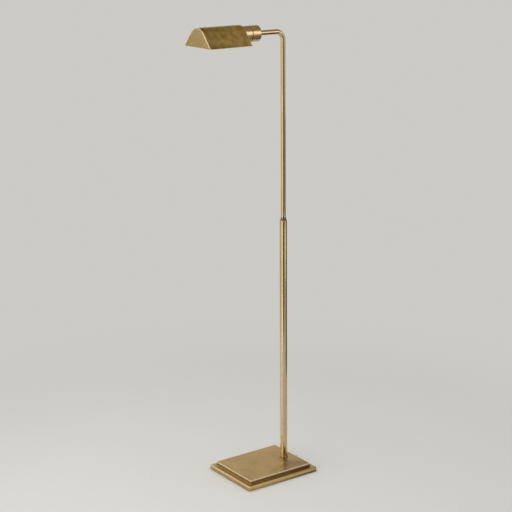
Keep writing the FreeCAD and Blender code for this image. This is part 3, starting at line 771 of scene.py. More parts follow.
class Palette:
    """All finishes of the lamp, each made once."""

    def __init__(self) -> None:
        """Makes every material."""
        drawn = {"aged": (0.55, 0.395, 0.195), "body": (0.60, 0.440, 0.235), "rubbed": (0.66, 0.495, 0.285),
                 "coat": 0.9, "coat_roughness": 0.1}
        lathe = {**drawn, "brush": Brush.ROUND, "cloud": 30.0, "roughness": 0.18, "wave": 0.02 * MM}
        # The tube's pale worn colour is also the rubbing low on the column, which paints a paler reflection
        # of the base.
        self.tube = AntiqueBrass("brass_drawn_tube", Brush.ALONG, cloud=7.0, roughness=0.11, wave=0.03 * MM,
                                 worn=(0.90, 0.815, 0.66), **drawn).make()
        self.turned = AntiqueBrass("brass_turned", wear=(250.0, 900.0), **lathe).make()
        self.cup = AntiqueBrass("brass_cup", wear=(2000.0, 6000.0), **lathe).make()
        self.bush = AntiqueBrass("brass_bush", wear=(4000.0, 9000.0), **lathe).make()
        self.sheet = AntiqueBrass("brass_sheet", aged=(0.275, 0.175, 0.045), body=(0.460, 0.318, 0.112),
                                  rubbed=(0.62, 0.450, 0.200), cloud=12.0, blotch=40.0, roughness=0.30,
                                  dark_range=(0.42, 0.50), bright_range=(0.50, 0.58),
                                  wear=(90.0, 400.0)).make()
        self.panel = AntiqueBrass("brass_panel", aged=(0.42, 0.295, 0.125), body=(0.48, 0.345, 0.16),
                                  rubbed=(0.55, 0.405, 0.21), cloud=18.0, roughness=0.32).make()
        self.plate = AntiqueBrass("brass_plate", Brush.ALONG, aged=(0.55, 0.365, 0.128),
                                  body=(0.61, 0.415, 0.168), rubbed=(0.67, 0.472, 0.21), cloud=9.0,
                                  roughness=0.27, wave=0.06 * MM, wear=(60.0, 300.0), coat=0.6,
                                  coat_roughness=0.24).make()
        self.small = AntiqueBrass("brass_small", cloud=60.0, has_surface_map=False).make()
        self.plain = PlainMetal("brass_plain", (0.72, 0.52, 0.22), (0.50, 0.33, 0.12)).make()
        self.steel = PlainMetal("zinc_plated_steel", (0.58, 0.58, 0.56), (0.42, 0.41, 0.38), 0.34).make()
        self.cap = PlainMetal("bulb_cap_metal", (0.74, 0.66, 0.48), (0.58, 0.50, 0.34), 0.22).make()
        self.nylon = Moulded("nylon", (0.66, 0.63, 0.54), (0.60, 0.56, 0.46), 0.42, 900.0, 0.012 * MM).make()
        self.fibre = Moulded("brown_fibre", (0.20, 0.105, 0.045), (0.26, 0.145, 0.065), 0.6, 900.0,
                             0.01 * MM).make()
        self.rubber = Moulded("rubber", (0.022, 0.020, 0.018), (0.035, 0.032, 0.028), 0.62, 1400.0,
                              0.02 * MM).make()
        self.porcelain = Moulded("glazed_porcelain", (0.83, 0.81, 0.75), (0.78, 0.75, 0.68), 0.3, 500.0,
                                 0.006 * MM, glaze=1.0).make()
        self.felt = Felt("felt", (0.020, 0.016, 0.012), (0.055, 0.046, 0.036)).make()
        self.glass = OpalGlass("opal_glass", (0.90, 0.88, 0.83), (0.873, 0.836, 0.747), 0.32).make()


@dataclass
class SubAssembly:
    """Pieces that ride on one body, made in the finishes of one palette."""

    body: ClassVar[str] = ""
    palette: Palette

    def piece(self, node: str, surfaces: Sequence[Surface], material: Material,
              slot: str = "antique_brass") -> bpy.types.Object:
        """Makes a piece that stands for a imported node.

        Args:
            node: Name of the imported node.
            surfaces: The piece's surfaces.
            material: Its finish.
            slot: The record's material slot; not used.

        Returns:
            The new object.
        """
        mesh = make_mesh(node + "_skin", surfaces)
        mesh.materials.append(material)
        made = linked(node + "_skin", mesh)
        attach(made, self.body)
        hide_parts(node)
        LOG.info("%s: %d faces on %s", made.name, len(mesh.polygons), self.body)
        return made

    def spin(self, node: str, profile: np.ndarray, way: Way, material: Material, slot: str = "antique_brass",
             kept: Optional[np.ndarray | float] = None, **settings: object) -> None:
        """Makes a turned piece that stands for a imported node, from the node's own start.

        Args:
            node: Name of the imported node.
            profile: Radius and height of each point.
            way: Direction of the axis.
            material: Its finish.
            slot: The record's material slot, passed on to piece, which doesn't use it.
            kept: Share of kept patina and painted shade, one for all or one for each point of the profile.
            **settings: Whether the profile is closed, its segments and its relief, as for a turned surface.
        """
        surface = turned(profile, Extent.of(node).start(way), way, **settings)
        surface.kept = kept
        self.piece(node, [surface], material, slot)

    def dress(self, material: Material, *nodes: str) -> None:
        """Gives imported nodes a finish.

        Args:
            material: The finish.
            *nodes: Names of the nodes.
        """
        for name in nodes:
            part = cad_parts[name]
            part.data.materials.clear()
            part.data.materials.append(material)
            LOG.info("%s: packed node in %s", name, material.name)


@dataclass
class Base(SubAssembly):
    """Stepped base: felt pad, rounded lower plate, bevelled upper plate, and what ties the column to them."""

    body: ClassVar[str] = "base"
    pad_flat: float = 4.0 * MM
    pad_round: float = 0.3 * MM
    lower_corner: float = 7.0 * MM
    lower_round: float = 4.5 * MM
    lower_flat: float = 6.0 * MM
    step_rows: Sizes = mm(-5.0, -0.5, 0.0, 3.0)
    upper_corner: float = 2.5 * MM
    upper_bevel: float = 1.0 * MM
    upper_flat: float = 2.0 * MM
    sharp_edge: float = 0.25 * MM
    rim_steps: int = 6
    # Painted shade on the upper plate's upright rim fades in over this height.
    upright_shade_fade: float = 2.0 * MM
    # Painted shade low on the lower plate's rim, as the dark line under it.
    foot_shade_top: float = 9.0 * MM
    foot_shade_fade: float = 6.1 * MM
    # Painted shade on the lower plate's upright sides.
    upright_shade: float = 0.36
    ledge_patina: Pair = (0.8, 1.0)
    step_fade: float = 8.0 * MM
    # Painted light: the share of the darkening that the -X side, which faces the key lamp, keeps.
    lit_side_shade_share: float = 0.58
    # Painted shade on the lower plate's rounded top edge, away from the key lamp.
    round_shade: float = 0.2
    # Painted shadow of the column on the far part of the upper plate's top.
    column_shadow: float = 0.60
    column_shadow_margin: float = 3.3 * MM
    column_shadow_heading: Pair = (0.8, -0.6)
    column_shadow_fade: float = 30.0 * MM
    bush_bore: float = 3.5 * MM
    bush_body: float = 5.0 * MM
    bush_flange: float = 2.0 * MM
    bush_rounds: Sizes = mm(0.3, 0.3, 0.2, 0.3, 1.0, 0.8)
    bush_segments: int = 64

    def rim(self, extent: Extent, reach: float, rounds: Sequence[float], bevel: float = 0.0) -> np.ndarray:
        """Rim profile of a plate.

        Args:
            extent: The plate's extent.
            reach: How far the rim's flats go in from the edge.
            rounds: Radius of each corner from the bottom up.
            bevel: Size of the bevel at the top, if any.

        Returns:
            Inset and height of each point.
        """
        foot, top = extent.low[2], extent.high[2]
        upper = [(0.0, top - bevel), (bevel, top)] if bevel else [(0.0, top)]
        return eased([(reach, foot), (0.0, foot), *upper, (reach, top)], rounds, steps=self.rim_steps)

    def past_step(self, plate: Surface, step_x: float) -> np.ndarray:
        """How far each point of a plate lies past the step's near edge, from 0 there to 1 a short way on."""
        return np.clip((plate.grid[..., 0] - step_x) / self.step_fade, 0, 1)

    def felt_pad(self) -> None:
        """Builds the felt pad."""
        felt = Extent.of("felt_pad")
        pad = slab(felt, self.lower_corner, self.rim(felt, self.pad_flat, [self.pad_round] * 2))
        cloth = self.piece("felt_pad", [pad], self.palette.felt, "felt")

    def lower_plate(self) -> None:
        """Builds the lower plate, with painted shade low on its rim, on its upright sides and on its rounded
        top edge, less on the -X side that faces the key lamp, and patina kept along the step.
        """
        extent = Extent.of("base_lower_plate")
        step_x = Extent.of("base_upper_plate").low[0]
        rim = self.rim(extent, self.lower_flat, [2 * self.sharp_edge, self.lower_round])
        # Painted shade low on the rim and on the upright side.
        foot_shade_z = extent.low[2] + self.foot_shade_top
        foot_shade = np.clip((foot_shade_z - rim[:, 1]) / self.foot_shade_fade, 0, 1)
        foot_shade = np.where(rim[:, 0] < self.sharp_edge, np.maximum(foot_shade, self.upright_shade), foot_shade)
        rows = step_x - extent.low[0] + np.array(self.step_rows)
        kept = np.concatenate([foot_shade, (0.0, *self.ledge_patina, 0.0)])
        plate = slab(extent, self.lower_corner, rim, rows, kept)
        # Painted light: less shade on the -X side facing the key lamp; painted shade on the rounded edge
        # elsewhere.
        past = self.past_step(plate, step_x)
        rounded = (plate.grid[..., 2] > foot_shade_z) & (plate.kept == 0)
        plate.kept = plate.kept * (self.lit_side_shade_share + (1 - self.lit_side_shade_share) * past)
        plate.kept = plate.kept + self.round_shade * rounded * past
        self.piece("base_lower_plate", [plate], self.palette.plate, "base_brass")

    def upper_plate(self) -> None:
        """Builds the upper plate, with painted shade on its upright rim, less on the side facing the key
        lamp, and a painted shadow of the column on the far part of its top.
        """
        extent = Extent.of("base_upper_plate")
        rim = self.rim(extent, self.upper_flat, [self.sharp_edge] * 3, self.upper_bevel)
        # Painted shade on the upright rim, less on the side facing the key lamp.
        below = extent.high[2] - self.upper_bevel - rim[:, 1]
        kept = np.clip(below / self.upright_shade_fade, 0, 1) * (rim[:, 0] < self.sharp_edge)
        plate = slab(extent, self.upper_corner, rim, [self.upper_bevel + WEAR_REACH], np.append(kept, 0.0))
        past = self.past_step(plate, extent.low[0])
        plate.kept = plate.kept * (self.lit_side_shade_share + (1 - self.lit_side_shade_share) * past)
        # Painted shadow of the column on the far part of the top.
        spots = plate.grid[..., :2]
        inside = (np.abs(spots - extent.middle[:2]) < extent.size[:2] / 2 - self.column_shadow_margin).all(2)
        column_shadow_side = (spots - Extent.of("column_tube").middle[:2]) @ self.column_shadow_heading
        plate.kept = plate.kept + self.column_shadow * inside * np.clip(column_shadow_side / self.column_shadow_fade + 0.5, 0, 1)
        self.piece("base_upper_plate", [plate], self.palette.plate, "base_brass")

    def lead_bush(self) -> None:
        """Builds the rubber bush in the back edge."""
        flange_r, length = Extent.of("cord_bush").turned_size(Way.TO_COLUMN)
        flange_at = Extent.of("cord_bush").size[0] - self.bush_flange
        profile = eased([(self.bush_bore, 0.0), (self.bush_body, 0.0), (self.bush_body, flange_at),
                         (flange_r, flange_at), (flange_r, length), (self.bush_bore, length)],
                        self.bush_rounds, closed=True)
        self.spin("cord_bush", profile, Way.TO_COLUMN, self.palette.rubber, "rubber",
                  segments=self.bush_segments)

    def build(self) -> None:
        """Builds the sub-assembly."""
        self.felt_pad()
        self.lower_plate()
        self.upper_plate()
        self.lead_bush()
        self.dress(self.palette.steel, "plate_screws", "base_stud", "stud_washer", "stud_nut")


@dataclass
class Column(SubAssembly):
    """Column tube with its foot ring and the turned bush at its top."""

    body: ClassVar[str] = "base"
    wall: float = 1.5 * MM
    lip_round: float = 0.2 * MM
    ring_gap: float = 0.05 * MM
    ring_rounds: Sizes = mm(0.1, 0.2, 1.8, 0.15)
    ring_darkening: float = 0.65
    # Rubbing pale low on the side facing the key lamp, which paints a paler reflection of the base there.
    rubbed_sheen_heights: Sizes = mm(5.0, 60.0, 100.0, 400.0, 560.0)
    rubbed_sheen_shares: Sizes = (0.97, 0.97, 0.7, 0.7, 0.0)
    rubbed_sheen_side: Triple = (-0.985, -0.174, 0.0)
    rubbed_sheen_from: float = 0.375
    # Painted shade at the tube's upper lip, under the bush.
    lip_shade: float = 0.87
    lip_height: float = 1.0 * MM
    # Painted shade on the bush's shoulder bevel and what lies above it.
    shoulder_shade: float = 0.9
    shoulder_margin: float = 0.1 * MM
    liner_r: float = 9.1 * MM
    pass_r: float = 8.1 * MM
    liner_length: float = 24.0 * MM
    body_r: float = 10.45 * MM
    neck_height: float = 9.0 * MM
    flange_height: float = 2.2 * MM
    shoulder: float = 1.2 * MM
    neck_foot_r: float = 9.4 * MM
    neck_top_r: float = 8.7 * MM
    bush_rounds: Sizes = mm(0.2, 0.2, 0.1, 0.1, 0.4, 0.3, 0.3, 0.25, 0.2, 0.1, 0.1)

    def foot_ring(self) -> None:
        """Builds the foot ring, darker all over."""
        rim, height = Extent.of("foot_ring").turned_size(Way.UP)
        tube = Extent.of("column_tube")
        bore = tube.size[0] / 2 + self.ring_gap
        profile = eased([(bore, 0.0), (rim, 0.0), (rim, height), (bore, height)], self.ring_rounds, True)
        ring = turned(profile, tube.start(Way.UP), Way.UP)
        ring.kept = self.ring_darkening
        self.piece("foot_ring", [ring], self.palette.bush)

    def tube(self) -> None:
        """Builds the tube, rubbed pale low on the side facing the key lamp, which paints a paler reflection
        of the base there, and with painted shade at its upper lip.
        """
        tube = Extent.of("column_tube")
        outer, height = tube.turned_size(Way.UP)
        foot = tube.start(Way.UP)
        inner = outer - self.wall
        profile = eased([(inner, 0.0), (outer, 0.0), (outer, height), (inner, height)], self.lip_round, True)
        at = int(np.argmax(profile[:, 1] > self.rubbed_sheen_heights[0]))
        profile = np.insert(profile, at, wall_line(outer, np.array(self.rubbed_sheen_heights)), axis=0)
        shape = turned(profile, foot, Way.UP)
        # Pale rubbing towards the key lamp, low on the column: wear that also paints a paler reflection of
        # the base.
        facing = unit((shape.grid - foot) * (1, 1, 0)) @ self.rubbed_sheen_side
        low = np.interp(shape.grid[..., 2] - foot[2], self.rubbed_sheen_heights, self.rubbed_sheen_shares)
        shape.kept = -low * np.clip((facing - self.rubbed_sheen_from) / (1 - self.rubbed_sheen_from), 0, 1)
        # Painted shade at the upper lip.
        shape.kept[profile[:, 1] > height - self.lip_height] = self.lip_shade
        self.piece("column_tube", [shape], self.palette.tube)

    def bush(self) -> None:
        """Builds the bush whose flange closes the column and whose neck guides the mast."""
        flange_r, height = Extent.of("top_bush").turned_size(Way.UP)
        neck = height - self.neck_height
        under = neck - self.flange_height
        profile = eased([(self.liner_r, 0.0), (self.body_r, 0.0), (self.body_r, under), (flange_r, under),
                         (flange_r, neck - self.shoulder), (flange_r - self.shoulder, neck),
                         (self.neck_foot_r, neck), (self.neck_top_r, height), (self.pass_r, height),
                         (self.pass_r, self.liner_length), (self.liner_r, self.liner_length)],
                        self.bush_rounds, closed=True)
        # Painted shade on the shoulder bevel and everything above it.
        dark = profile[:, 1:] > neck - self.shoulder - self.shoulder_margin
        self.spin("top_bush", profile, Way.UP, self.palette.bush, kept=dark * self.shoulder_shade)

    def build(self) -> None:
        """Builds the sub-assembly."""
        self.foot_ring()
        self.tube()
        self.bush()
        self.dress(self.palette.plain, "column_plug")
        self.dress(self.palette.nylon, "bush_liner")


@dataclass
class Slider(SubAssembly):
    """Guide that carries the mast in the column."""

    body: ClassVar[str] = "slider"

    def build(self) -> None:
        """Dresses the sub-assembly."""
        self.dress(self.palette.nylon, "mast_slider")
        self.dress(self.palette.rubber, "brake_rings")


@dataclass
class Mast(SubAssembly):
    """Mast and arm in one bent tube, with the rear half of the cup and the pivot of the head."""

    body: ClassVar[str] = "mast"
    wall: float = 1.2 * MM
    lip_round: float = 0.2 * MM
    lip_steps: int = 4
    bend_r: float = 26.0 * MM
    bend_rows: int = 33
    rows_before: Sizes = mm(30.0, 3.0)
    row_after: float = 3.0 * MM
    around: int = 80
    cup_rounds: Sizes = mm(0.15, 0.12, 0.2, 2.0, 0.15, 0.15, 0.5)

    def path(self, distance: np.ndarray, extent: Extent, straight: float) -> tuple[np.ndarray, np.ndarray]:
        """Middle line of the tube: up, round a quarter circle, and out along the arm.

        Args:
            distance: Distances along the line.
            extent: Extent of the tube.
            straight: Length of the upright part.

        Returns:
            Points of the line, and the directions towards the outside of the bend.
        """
        angle = np.clip((distance - straight) / self.bend_r, 0, QUARTER)
        rise = np.minimum(distance, straight)
        reach = np.maximum(distance - straight - self.bend_r * QUARTER, 0)
        x = extent.high[0] - extent.size[1] / 2 - self.bend_r * (1 - np.cos(angle)) - reach
        z = extent.low[2] + rise + self.bend_r * np.sin(angle)
        level = np.zeros_like(x)
        return np.stack([x, level, z], axis=1), np.stack([np.cos(angle), level, np.sin(angle)], axis=1)

    def tube(self) -> None:
        """Builds the bent tube: a loop of outer wall, lip, inner wall and lip, carried round the section."""
        extent = Extent.of("mast_tube")
        radius = extent.size[1] / 2
        bore = radius - self.wall
        straight = extent.high[2] - radius - self.bend_r - extent.low[2]
        bend_end = straight + self.bend_r * QUARTER
        length = bend_end + extent.size[0] - radius - self.bend_r
        corners = [(0.0, bore), (0.0, radius), (length, radius), (length, bore)]
        foot, end = np.split(eased(corners, self.lip_round, True, self.lip_steps), 2)
        bend = np.linspace(straight, bend_end, self.bend_rows)
        stations = np.concatenate([straight - np.array(self.rows_before), bend, [bend_end + self.row_after]])
        outer = wall_line(radius, stations)[:, ::-1]
        inner = wall_line(bore, stations[::-1])[:, ::-1]
        rows = np.concatenate([foot, outer, end, inner])
        line, outside = self.path(rows[:, 0], extent, straight)
        angle = np.linspace(0, 2 * np.pi, self.around, endpoint=False)[None, :, None]
        ray = np.cos(angle) * outside[:, None] + np.sin(angle) * np.array(Way.TO_FAR_SIDE.value)
        grid = line[:, None] + rows[:, 1][:, None, None] * ray
        self.piece("mast_tube", [Surface(grid, rows_close=True)], self.palette.tube)

    def cup(self) -> None:
        """Builds the rear half of the cup."""
        outer, length = Extent.of("rear_cup").turned_size(Way.TO_COLUMN)
        inner, floor = outer - CUP_WALL, length - CUP_WALL
        profile = eased([(inner, 0.0), (outer - SEAM_BEVEL, 0.0), (outer, SEAM_BEVEL), (outer, length),
                         (AXLE_HOLE_R, length), (AXLE_HOLE_R, floor), (inner, floor)], self.cup_rounds, True)
        self.spin("rear_cup", profile, Way.TO_COLUMN, self.palette.cup, kept=seam_patina(profile))

    def build(self) -> None:
        """Builds the sub-assembly."""
        self.tube()
        self.cup()
        self.dress(self.palette.plain, "stop_collar", "arm_plug", "swivel_spacer", "swivel_plate")
        self.dress(self.palette.steel, "slider_clip", "swivel_nipple", "stop_pin", "thrust_washer",
                   "spring_washer", "swivel_nut")
        self.dress(self.palette.nylon, "mast_end_bush")
        self.dress(self.palette.fibre, "friction_washer")


@dataclass(frozen=True)
class Tent:
    """Outline of the shade: two straight sides that run into a round ridge."""

    side_places: ClassVar[Sizes] = (0.0, 0.02, 0.2, 0.4, 0.6, 0.8, 0.95)
    ridge_points: ClassVar[int] = 41
    ridge_middle: ClassVar[float] = 1.5
    middle_z: float
    foot_z: float
    ridge_r: float
    slope: float

    @classmethod
    def fitted(cls, extent: Extent, ridge_r: float) -> "Tent":
        """Outline that fills an extent.

        Args:
            extent: Extent of the folded sheet.
            ridge_r: Radius of the ridge.

        Returns:
            The outline. Its slope makes the sides touch the ridge's circle.
        """
        half = extent.size[1] / 2
        rise = ridge_r - extent.size[2]
        slope = math.asin(ridge_r / math.hypot(half, rise)) - math.atan2(rise, half)
        return cls(extent.high[2] - ridge_r, extent.low[2], ridge_r, slope)

    def at(self, place: np.ndarray, inset: np.ndarray, lift: np.ndarray) -> tuple[np.ndarray, np.ndarray]:
        """Points of the outline.

        Args:
            place: 0 to 1 up the near side, 1 to 2 over the ridge, 2 to 3 down the far side.
            inset: How far inside the outline.
            lift: How far above the foot the sides end.

        Returns:
            Their y and z.
        """
        radius = self.ridge_r - inset
        touch_y = radius * math.sin(self.slope)
        touch_z = self.middle_z + radius * math.cos(self.slope)
        foot = self.foot_z + lift
        foot_y = touch_y + (touch_z - foot) / math.tan(self.slope)
        angle = self.slope * (2 * np.clip(place - 1, 0, 1) - 1)
        up = np.where(place < 1, place, np.where(place > 2, 3 - place, 1.0))
        side = np.where(place < self.ridge_middle, -1.0, 1.0)
        on_side = np.abs(place - self.ridge_middle) > 0.5
        y = np.where(on_side, side * (foot_y + up * (touch_y - foot_y)), radius * np.sin(angle))
        z = np.where(on_side, foot + up * (touch_z - foot), self.middle_z + radius * np.cos(angle))
        return y, z

    @classmethod
    def stations(cls) -> np.ndarray:
        """Places along the outline, close together over the ridge."""
        side = np.array(cls.side_places)
        return np.concatenate([side, np.linspace(1, 2, cls.ridge_points), 3 - side[::-1]])


@dataclass
class Shade(SubAssembly):
    """Folded sheet with two flanged end panels and the screws that hold it to the cup."""

    body: ClassVar[str] = "head"
    ridge_r: float = 44.5 * MM
    sheet: float = 1.6 * MM
    panel: float = 1.2 * MM
    seat: float = 0.05 * MM
    flange: float = 7.0 * MM
    edge: float = 0.3 * MM
    edge_steps: int = 4
    foot_round: float = 0.65 * MM
    foot_rows: int = 7
    roll_depth: float = 0.8 * MM
    roll_length: float = 2.4 * MM
    roll_points: int = 9
    corner_points: int = 5
    # Painted shade: the sheet darkens towards its front edge, where its reflection is darker.
    front_shade_gap: float = 0.1 * MM
    front_shade_places: Sizes = mm(8.0, 36.0, 68.0)
    front_shade_shares: Sizes = (0.48, 0.43, 0.0)
    rim_reach: float = 3.0
    rim_round: float = 1.5
    foot_points: int = 21
    rays_to_middle: Sizes = (0.0, 0.08, 0.5, 1.0)
    rays_to_hole: Sizes = (0.0, 0.08, 0.5, 0.92, 1.0)
    screw_angles: Sizes = (90.0, 210.0, 330.0)
    screw_ring_r: float = 21.3 * MM
    screw_r: float = 1.5 * MM
    screw_head_r: float = 2.8 * MM
    screw_head: float = 1.8 * MM
    screw_rounds: Sizes = mm(0.2, 0.1, 0.15, 0.9)
    screw_steps: int = 4
    screw_rings: int = 14
    screw_segments: int = 72
    slot_half: float = 0.45 * MM
    slot_slope: float = 0.12 * MM
    slot_depth: float = 0.8 * MM
    slot_zone: float = 0.949 * MM

    def rolled_section(self, near: float, far: float) -> np.ndarray:
        """Section of the folded sheet, whose front and rear edges are rolled inwards.

        Each roll is an arc that leaves the outer face smoothly, with radius (depth squared + length squared)
        over twice the depth, and each inner corner is a quarter circle.

        Args:
            near: Lowest x.
            far: Highest x.

        Returns:
            Inset and x of each point.
        """
        radius = (self.roll_depth ** 2 + self.roll_length ** 2) / (2 * self.roll_depth)
        turn = np.linspace(0, QUARTER, self.corner_points)
        swing = np.linspace(math.asin(self.roll_length / radius), 0, self.roll_points)
        corner = np.array([self.sheet - self.edge * (1 - np.cos(turn)), self.edge * (1 - np.sin(turn))])
        roll = np.array([radius * (1 - np.cos(swing)), self.roll_length - radius * np.sin(swing)])
        half = np.concatenate([corner.T, roll.T, [(0.0, self.roll_length + WEAR_REACH)]])
        flat = [(0.0, near + place) for place in self.front_shade_places]
        return np.concatenate([half + (0, near), flat, half[::-1] * (1, -1) + (0, far)])

    def folded(self, tent: Tent, loop: np.ndarray, foot_round: float) -> Surface:
        """Sheet that follows the tent: a strip section carried along the outline.

        The section shrinks over the last part of the edge at both feet by a quarter circle.

        Args:
            tent: The outline.
            loop: Inset and x of the section's points.
            foot_round: Radius of the quarter circle.

        Returns:
            The surface, capped at both feet.
        """
        quarter = np.linspace(0, QUARTER, self.foot_rows)
        middle = tent.stations()[1:-1]
        rise, narrow = foot_round * (1 - np.sin(quarter)), foot_round * (1 - np.cos(quarter))
        place = np.concatenate([np.full(self.foot_rows, 0.0), middle, np.full(self.foot_rows, 3.0)])
        lift = np.concatenate([rise[::-1], np.full(len(middle), foot_round), rise])
        shrink = np.concatenate([narrow[::-1], np.zeros(len(middle)), narrow])
        centre = (loop.max(0) + loop.min(0)) / 2
        half = (loop.max(0) - loop.min(0)) / 2
        section = centre + (loop - centre)[None] * (1 - shrink[:, None, None] / half)
        y, z = tent.at(place[:, None], section[..., 0], lift[:, None])
        return Surface(np.stack([section[..., 1], y, z], axis=2), capped=True)

    def panel_plate(self, tent: Tent, near: float, far: float, hole_r: float, hole_z: float) -> Surface:
        """Flat end panel that fills the outline, with a round hole or none.

        Each ray runs from the outline straight to the hole's edge, or to the hole's middle.

        Args:
            tent: The outline.
            near: Lowest x.
            far: Highest x.
            hole_r: Radius of the hole, or 0.
            hole_z: Height of the hole's middle.

        Returns:
            The closed surface.
        """
        inset = self.sheet + self.seat
        reach = self.rim_reach * self.edge
        rim = eased([(reach, near), (0.0, near), (0.0, far), (reach, far)], self.rim_round * self.edge,
                    steps=self.edge_steps)
        y, z = tent.at(tent.stations()[None], inset + rim[:, :1], rim[:, :1])
        floor = np.linspace(1, -1, self.foot_points)[None, 1:-1]
        outline = np.stack([np.concatenate([y, y[:, -1:] * floor], axis=1),
                            np.concatenate([z, z[:, -1:] + 0 * floor], axis=1)], axis=2)
        hole = np.array([0.0, hole_z])
        target = hole + hole_r * unit(outline[:1] - hole)
        share = np.array(self.rays_to_hole if hole_r else self.rays_to_middle)[:, None, None]
        back = target + (outline[:1] - target) * (1 - share[::-1])
        front = outline[-1:] + (target - outline[-1:]) * share
        flat = np.concatenate([back[:-1], outline, front[1:]])
        x = np.pad(rim[:, 1], len(share) - 1, mode="edge")
        grid = np.concatenate([np.broadcast_to(x[:, None, None], flat.shape[:2] + (1,)), flat], axis=2)
        return Surface(grid, rows_close=bool(hole_r))

    def end_panel(self, node: str, tent: Tent, face: float, inward: int, hole_r: float,
                  hole_z: float) -> None:
        """Builds an end panel with its flange.

        Args:
            node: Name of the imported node.
            tent: The shade's outline.
            face: Place of its outer face along x.
            inward: Sign of x from that face into the shade.
            hole_r: Radius of its hole, or 0.
            hole_z: Height of the hole's middle.
        """
        outer = self.sheet + self.seat
        inner = outer + self.panel
        near, far = sorted((face + inward * self.edge, face + inward * self.flange))
        corners = [(outer, near), (outer, far), (inner, far), (inner, near)]
        section = eased(corners, self.edge, True, self.edge_steps)
        plate = self.panel_plate(tent, *sorted((face, face + inward * self.panel)), hole_r, hole_z)
        self.piece(node, [plate, self.folded(tent, section, self.edge)], self.palette.panel)

    def screws(self) -> None:
        """Builds the three slotted screws as turned heads with a slot pressed into their tops."""
        extent = Extent.of("shade_screws")
        middle = np.array((extent.high[0], 0.0, Extent.of("rear_cup").middle[2]))
        length = extent.size[0]
        under = length - self.screw_head
        surfaces = []
        for angle in np.radians(self.screw_angles):
            start = middle + self.screw_ring_r * np.array((0.0, np.cos(angle), np.sin(angle)))
            profile = eased([(0.0, 0.0), (self.screw_r, 0.0), (self.screw_r, under),
                             (self.screw_head_r, under), (self.screw_head_r, length), (0.0, length)],
                            self.screw_rounds, steps=self.screw_steps)
            top = wall_line(length, np.linspace(profile[-2, 0], 0, self.screw_rings)[1:])[:, ::-1]
            screw = turned(np.concatenate([profile[:-1], top]), start, Way.TO_TIP, False, self.screw_segments)
            across = np.abs(screw.grid[..., 1] - start[1]) - self.slot_half
            depth = self.slot_depth * (1 - np.clip(across / self.slot_slope, 0, 1))
            on_top = length - (start[0] - screw.grid[..., 0]) < self.slot_zone
            screw.grid[..., 0] += np.where(on_top, depth, 0.0)
            surfaces.append(screw)
        self.piece("shade_screws", surfaces, self.palette.steel, "steel")

    def build(self) -> None:
        """Builds the sub-assembly."""
        cover = Extent.of("shade_cover")
        tent = Tent.fitted(cover, self.ridge_r)
        sheet = self.folded(tent, self.rolled_section(cover.low[0], cover.high[0]), self.foot_round)
        # Painted shade towards the front edge, from just past the worn roll.
        worn = self.roll_length + WEAR_REACH + self.front_shade_gap
        sheet.kept = np.interp(sheet.grid[..., 0] - cover.low[0], (worn, *self.front_shade_places),
                               (0.0, *self.front_shade_shares))
        self.piece("shade_cover", [sheet], self.palette.sheet)
        self.end_panel("front_panel", tent, Extent.of("front_panel").low[0], 1, 0.0, tent.middle_z)
        self.end_panel("rear_panel", tent, Extent.of("rear_panel").high[0], -1, CUP_MOUTH_R,
                       Extent.of("rear_cup").middle[2])
        self.screws()


